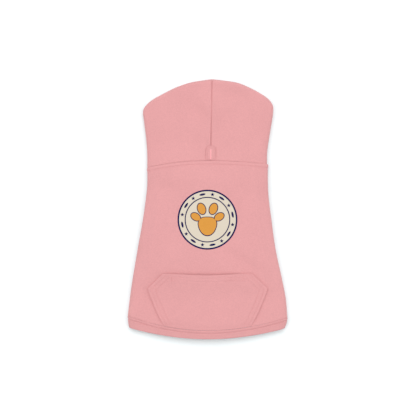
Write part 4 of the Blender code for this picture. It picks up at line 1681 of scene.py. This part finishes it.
class HOODIE_OT_stitches(bpy.types.Operator):
    """Sews the rows of stitches"""

    bl_idname = "hoodie.stitches"
    bl_label = "Stitches"

    def execute(self, context):
        garment = Garment()
        look = thread_look("sewing_thread", "thread")
        self.sew_neck(garment, look)
        self.sew_hem(garment, look)
        self.sew_pocket(garment, look)
        self.sew_hood(garment, look)
        self.sew_patch(garment, look)
        return {"FINISHED"}

    def threads(self, garment, name, *pieces):
        return Threads(name, garment.seams.thread, *pieces)

    def sew_neck(self, garment, look):
        seams = garment.seams
        threads = self.threads(garment, "neck_stitches", "back_cloth", "belly_cloth")
        for rows in (back_rows(garment), belly_rows(garment)):
            line = line_at(rows[::-1], seams.needle_gauge)
            threads.sew(line, seams.stitch_pitch, seams.stitch_length)
        threads.finish(look, "fleece")

    def sew_hem(self, garment, look):
        seams = garment.seams
        threads = self.threads(garment, "hem_stitches", "hem_cloth")
        line = line_at(hem_rows(garment)[::-1], HEM_LINE_SHARE * seams.needle_gauge)
        threads.sew(line, seams.stitch_pitch, seams.stitch_length)
        threads.finish(look, "hem_fleece")

    def sew_pocket(self, garment, look):
        seams = garment.seams
        edges = PocketEdges(garment)
        threads = self.threads(garment, "pocket_stitches", "pocket_cloth")
        length = edges.mouth_y - edges.sides[1][1].y - SIDE_LINE_SHORTENING
        for side in (-1, 1):
            for inset in POCKET_LINES:
                line = []
                for run in even(length, 120):
                    y = edges.mouth_y - SIDE_LINE_START - run
                    x = side * edges.reach(y, inset)
                    line.append(Vector((x, y, self.pocket_height(garment, x, y))))
                threads.sew(line, seams.stitch_pitch, seams.stitch_length)
        for down in MOUTH_LINES:
            line = []
            for x in even(2 * MOUTH_LINE_REACH, 60):
                x -= MOUTH_LINE_REACH
                y = edges.mouth_y - down
                line.append(Vector((x, y, self.pocket_height(garment, x, y))))
            threads.sew(line, seams.stitch_pitch, seams.stitch_length)
        for side in (-1, 1):
            self.bar(garment, threads, side * BARTACK_PLACE, edges.mouth_y)
        threads.finish(look, "pocket_fleece")

    def pocket_height(self, garment, x, y):
        return garment.back_height(x, y) + garment.lay.lay_gap + garment.lay.wall + MM

    def bar(self, garment, threads, x, mouth_y):
        """A bartack: close stitches across a short line beside the mouth's rows."""
        length = MOUTH_LINES[1] - MOUTH_LINES[0] + 2 * BARTACK_OVERRUN
        for run in even(length, BARTACK_STITCHES):
            y = mouth_y - MOUTH_LINES[0] + BARTACK_OVERRUN - run
            height = self.pocket_height(garment, x, y)
            start = Vector((x - BARTACK_LENGTH / 2, y, height))
            threads.lay(start, start + Vector((BARTACK_LENGTH, 0, 0)), arch=0.3)

    def sew_hood(self, garment, look):
        seams = garment.seams
        threads = self.threads(garment, "face_stitches", "hood_cloth_left", "hood_cloth_right")
        for side in (-1, 1):
            rows = transposed(hood_rows(garment, side))
            rows = rows[::-1] if side > 0 else rows
            for distance in FACE_LINES:
                line = line_at(rows, distance)
                threads.sew(line, seams.stitch_pitch, seams.stitch_length)
        threads.finish(look, "fleece")

    def sew_patch(self, garment, look):
        """A row of stitches round the arch, a little way in from its edge."""
        seams = garment.seams
        details = garment.details
        threads = self.threads(garment, "patch_stitches", "patch_cloth")
        reach = details.patch_width / 2 - PATCH_LINE
        straight = details.patch_length - details.patch_width / 2
        outline = [Vector((-reach, y)) for y in even(straight, 12)]
        for angle in even(math.pi, 24)[1:]:
            arch = Vector((-math.cos(angle), math.sin(angle))) * reach
            outline.append(Vector((0, straight)) + arch)
        outline += [Vector((reach, y)) for y in even(straight, 12)[-2::-1]]
        line = []
        for point in outline:
            y = garment.patch_foot + PATCH_LINE_START + point.y * 0.96
            x = garment.seam_x(y) + point.x
            height = garment.seam_height(x, y) + details.patch_wall + MM
            line.append(Vector((x, y, height)))
        threads.sew(line, 0.8 * seams.stitch_pitch, 0.8 * seams.stitch_length)
        threads.finish(look, "patch_fleece")


class Print:
    """Shapes of one ink, laid as a thin film over the back."""

    def __init__(self, name, level):
        self.badge = settings("hoodie_badge")
        self.name = name
        self.level = level * INK_STEP
        self.tree = surface_of("back_cloth")
        self.mesh = bmesh.new()

    def shape(self, centre, radius_at, around, steps, hole=0.0):
        """A shape round a centre, given by its radius at each angle, with an optional hole that
        is a share of it."""
        rows = []
        for step in range(steps + 1):
            row = []
            for spoke in range(around + 1):
                angle = math.tau * (spoke % around) / around
                radius = radius_at(angle) * mix(hole, 1.0, step / steps)
                flat = centre + radius * Vector((math.cos(angle), math.sin(angle)))
                x, y = self.badge.place_x + flat.x, self.badge.place_y + flat.y
                hit, _, _, _ = self.tree.ray_cast(Vector((x, y, PRINT_FROM)), Vector((0, 0, -1)))
                height = hit.z + self.badge.film + self.level
                row.append(Spot(Vector((x, y, height)), Vector((x, y)), 0.0))
            rows.append(row[::-1])
        mesh, _ = cloth_grid(rows, closed=True)
        bmesh.ops.dissolve_degenerate(mesh, edges=mesh.edges, dist=0.01 * MM)
        bmesh.ops.solidify(mesh, geom=mesh.faces[:], thickness=0.9 * self.badge.film)
        data = bpy.data.meshes.new("shape")
        mesh.to_mesh(data)
        mesh.free()
        self.mesh.from_mesh(data)
        bpy.data.meshes.remove(data)

    def finish(self, look):
        bmesh.ops.recalc_face_normals(self.mesh, faces=self.mesh.faces)
        settle(new_piece(self.name, self.mesh, look), "fleece")


def disc(radius):
    return lambda angle: radius


def oval(length, width, turn):
    """Radius of an oval whose longer half-axis is turned this far from X."""

    def radius(angle):
        run = math.cos(angle - turn) / length
        off = math.sin(angle - turn) / width
        return 1 / math.sqrt(run * run + off * off)

    return radius


def star(outer, inner, points):
    def radius(angle):
        share = abs((angle * points / math.tau + 0.75) % 1.0 - 0.5) * 2
        return mix(inner, outer, share**1.4)

    return radius


def pad(size):
    """Radius of a paw's main pad: broad below, with three soft lobes."""

    def radius(angle):
        lobes = 0.07 * math.cos(3 * (angle + math.pi / 2))
        return size * (1 - 0.16 * math.sin(angle) + lobes)

    return radius


class HOODIE_OT_badge(bpy.types.Operator):
    """Prints the round badge on the back"""

    bl_idname = "hoodie.badge"
    bl_label = "Badge"

    def execute(self, context):
        radius = settings("hoodie_badge").radius
        middle = Vector((0, 0))
        ground = Print("badge_ground", 0)
        ground.shape(middle, disc(radius), 192, 40)
        ground.finish(ink_look("ink_cream", "cream"))
        self.print_navy(radius, middle)
        self.print_ochre()
        return {"FINISHED"}

    def print_navy(self, radius, middle):
        navy = Print("badge_navy", 1)
        navy.shape(middle, disc(radius), 192, 3, hole=1 - RIM_WIDTH / radius)
        navy.shape(middle, disc(INNER_RING * radius), 160, 2, hole=INNER_RING_HOLE)
        for step in range(MOTIF_COUNT):
            angle = math.tau * (step + 0.5) / MOTIF_COUNT
            place = MOTIF_RING * radius * Vector((math.cos(angle), math.sin(angle)))
            if step % 2:
                navy.shape(place, star(STAR_OUTER, STAR_INNER, 5), 40, 3)
            else:
                leaf = oval(LEAF_LENGTH, LEAF_WIDTH, angle + math.pi / 2)
                navy.shape(place, leaf, 32, 3)
        self.paw(navy, PAW_BORDER)
        navy.finish(ink_look("ink_navy", "navy"))

    def print_ochre(self):
        ochre = Print("badge_ochre", 2)
        self.paw(ochre, 0.0)
        ochre.finish(ink_look("ink_ochre", "ochre"))

    def paw(self, ink, grow):
        """A paw print, each part grown by this much."""
        heel = Vector((0, -PAD_DROP))
        ink.shape(heel, pad(PAD_SIZE + grow), 64, 8)
        for toe in TOES:
            turn = math.radians(90 - toe.turn)
            place = heel + toe.away * Vector((math.cos(turn), math.sin(turn)))
            ink.shape(place, oval(toe.length + grow, toe.width + grow, turn), 40, 5)


class HOODIE_OT_stage(bpy.types.Operator):
    """Lays the pale floor and sets the light and the camera"""

    bl_idname = "hoodie.stage"
    bl_label = "Stage"

    def execute(self, context):
        scene = context.scene
        scene.view_settings.view_transform = "Standard"
        mesh = bmesh.new()
        bmesh.ops.create_grid(mesh, x_segments=1, y_segments=1, size=FLOOR_HALF_WIDTH)
        bmesh.ops.translate(mesh, verts=mesh.verts, vec=(0, 0, -FLOOR_DROP))
        look = Look("floor", 0.9, 0.0)
        look.shader.inputs["Specular IOR Level"].default_value = 0.0
        look.shader.inputs["Base Color"].default_value = (*settings("hoodie_colours").floor, 1.0)
        floor = new_piece("floor", mesh, look.material)
        world = bpy.data.worlds.new("pale_room")
        world.use_nodes = True
        world.node_tree.nodes["Background"].inputs["Color"].default_value = (1, 1, 1, 1)
        world.node_tree.nodes["Background"].inputs["Strength"].default_value = ROOM_LIGHT
        scene.world = world
        for sun in SUNS:
            self.add_sun(sun)
        camera_data = bpy.data.cameras.new("camera")
        camera_data.lens = 135
        camera_data.sensor_width = 36
        camera_data.clip_end = 20
        camera = bpy.data.objects.new("camera", camera_data)
        camera.location = CAMERA_PLACE
        scene.collection.objects.link(camera)
        scene.camera = camera
        return {"FINISHED"}

    def add_sun(self, sun):
        data = bpy.data.lights.new(sun.name, "SUN")
        data.angle = sun.spread
        data.energy = sun.strength
        lamp = bpy.data.objects.new(sun.name, data)
        direction = Vector(sun.direction)
        lamp.location = direction
        lamp.rotation_euler = (-direction).to_track_quat("-Z", "Y").to_euler()
        bpy.context.scene.collection.objects.link(lamp)


class HOODIE_PT_panel(bpy.types.Panel):
    """Lists the pieces of the hoodie and its settings"""

    bl_idname = "HOODIE_PT_panel"
    bl_label = "Hoodie"
    bl_space_type = "VIEW_3D"
    bl_region_type = "UI"
    bl_category = "Hoodie"

    def draw(self, context):
        for operator in OPERATORS:
            self.layout.operator(operator.bl_idname)
        for name, group in SETTINGS.items():
            box = self.layout.box()
            for key in group.__annotations__:
                box.prop(getattr(context.scene, name), key)


OPERATORS = (
    HOODIE_OT_back,
    HOODIE_OT_belly,
    HOODIE_OT_hem,
    HOODIE_OT_hood,
    HOODIE_OT_patch,
    HOODIE_OT_pocket,
    HOODIE_OT_sleeves,
    HOODIE_OT_stitches,
    HOODIE_OT_badge,
    HOODIE_OT_stage,
)


def register():
    for group in SETTINGS.values():
        bpy.utils.register_class(group)
    for name, group in SETTINGS.items():
        setattr(bpy.types.Scene, name, bpy.props.PointerProperty(type=group))
    for operator in OPERATORS:
        bpy.utils.register_class(operator)
    bpy.utils.register_class(HOODIE_PT_panel)


def unregister():
    bpy.utils.unregister_class(HOODIE_PT_panel)
    for operator in reversed(OPERATORS):
        bpy.utils.unregister_class(operator)
    for name in SETTINGS:
        delattr(bpy.types.Scene, name)
    for group in SETTINGS.values():
        bpy.utils.unregister_class(group)


def main():
    register()
    bpy.ops.hoodie.back()
    bpy.ops.hoodie.belly()
    bpy.ops.hoodie.hem()
    bpy.ops.hoodie.hood()
    bpy.ops.hoodie.patch()
    bpy.ops.hoodie.pocket()
    bpy.ops.hoodie.sleeves()
    bpy.ops.hoodie.stitches()
    bpy.ops.hoodie.badge()
    bpy.ops.hoodie.stage()


if __name__ == "__main__":
    main()
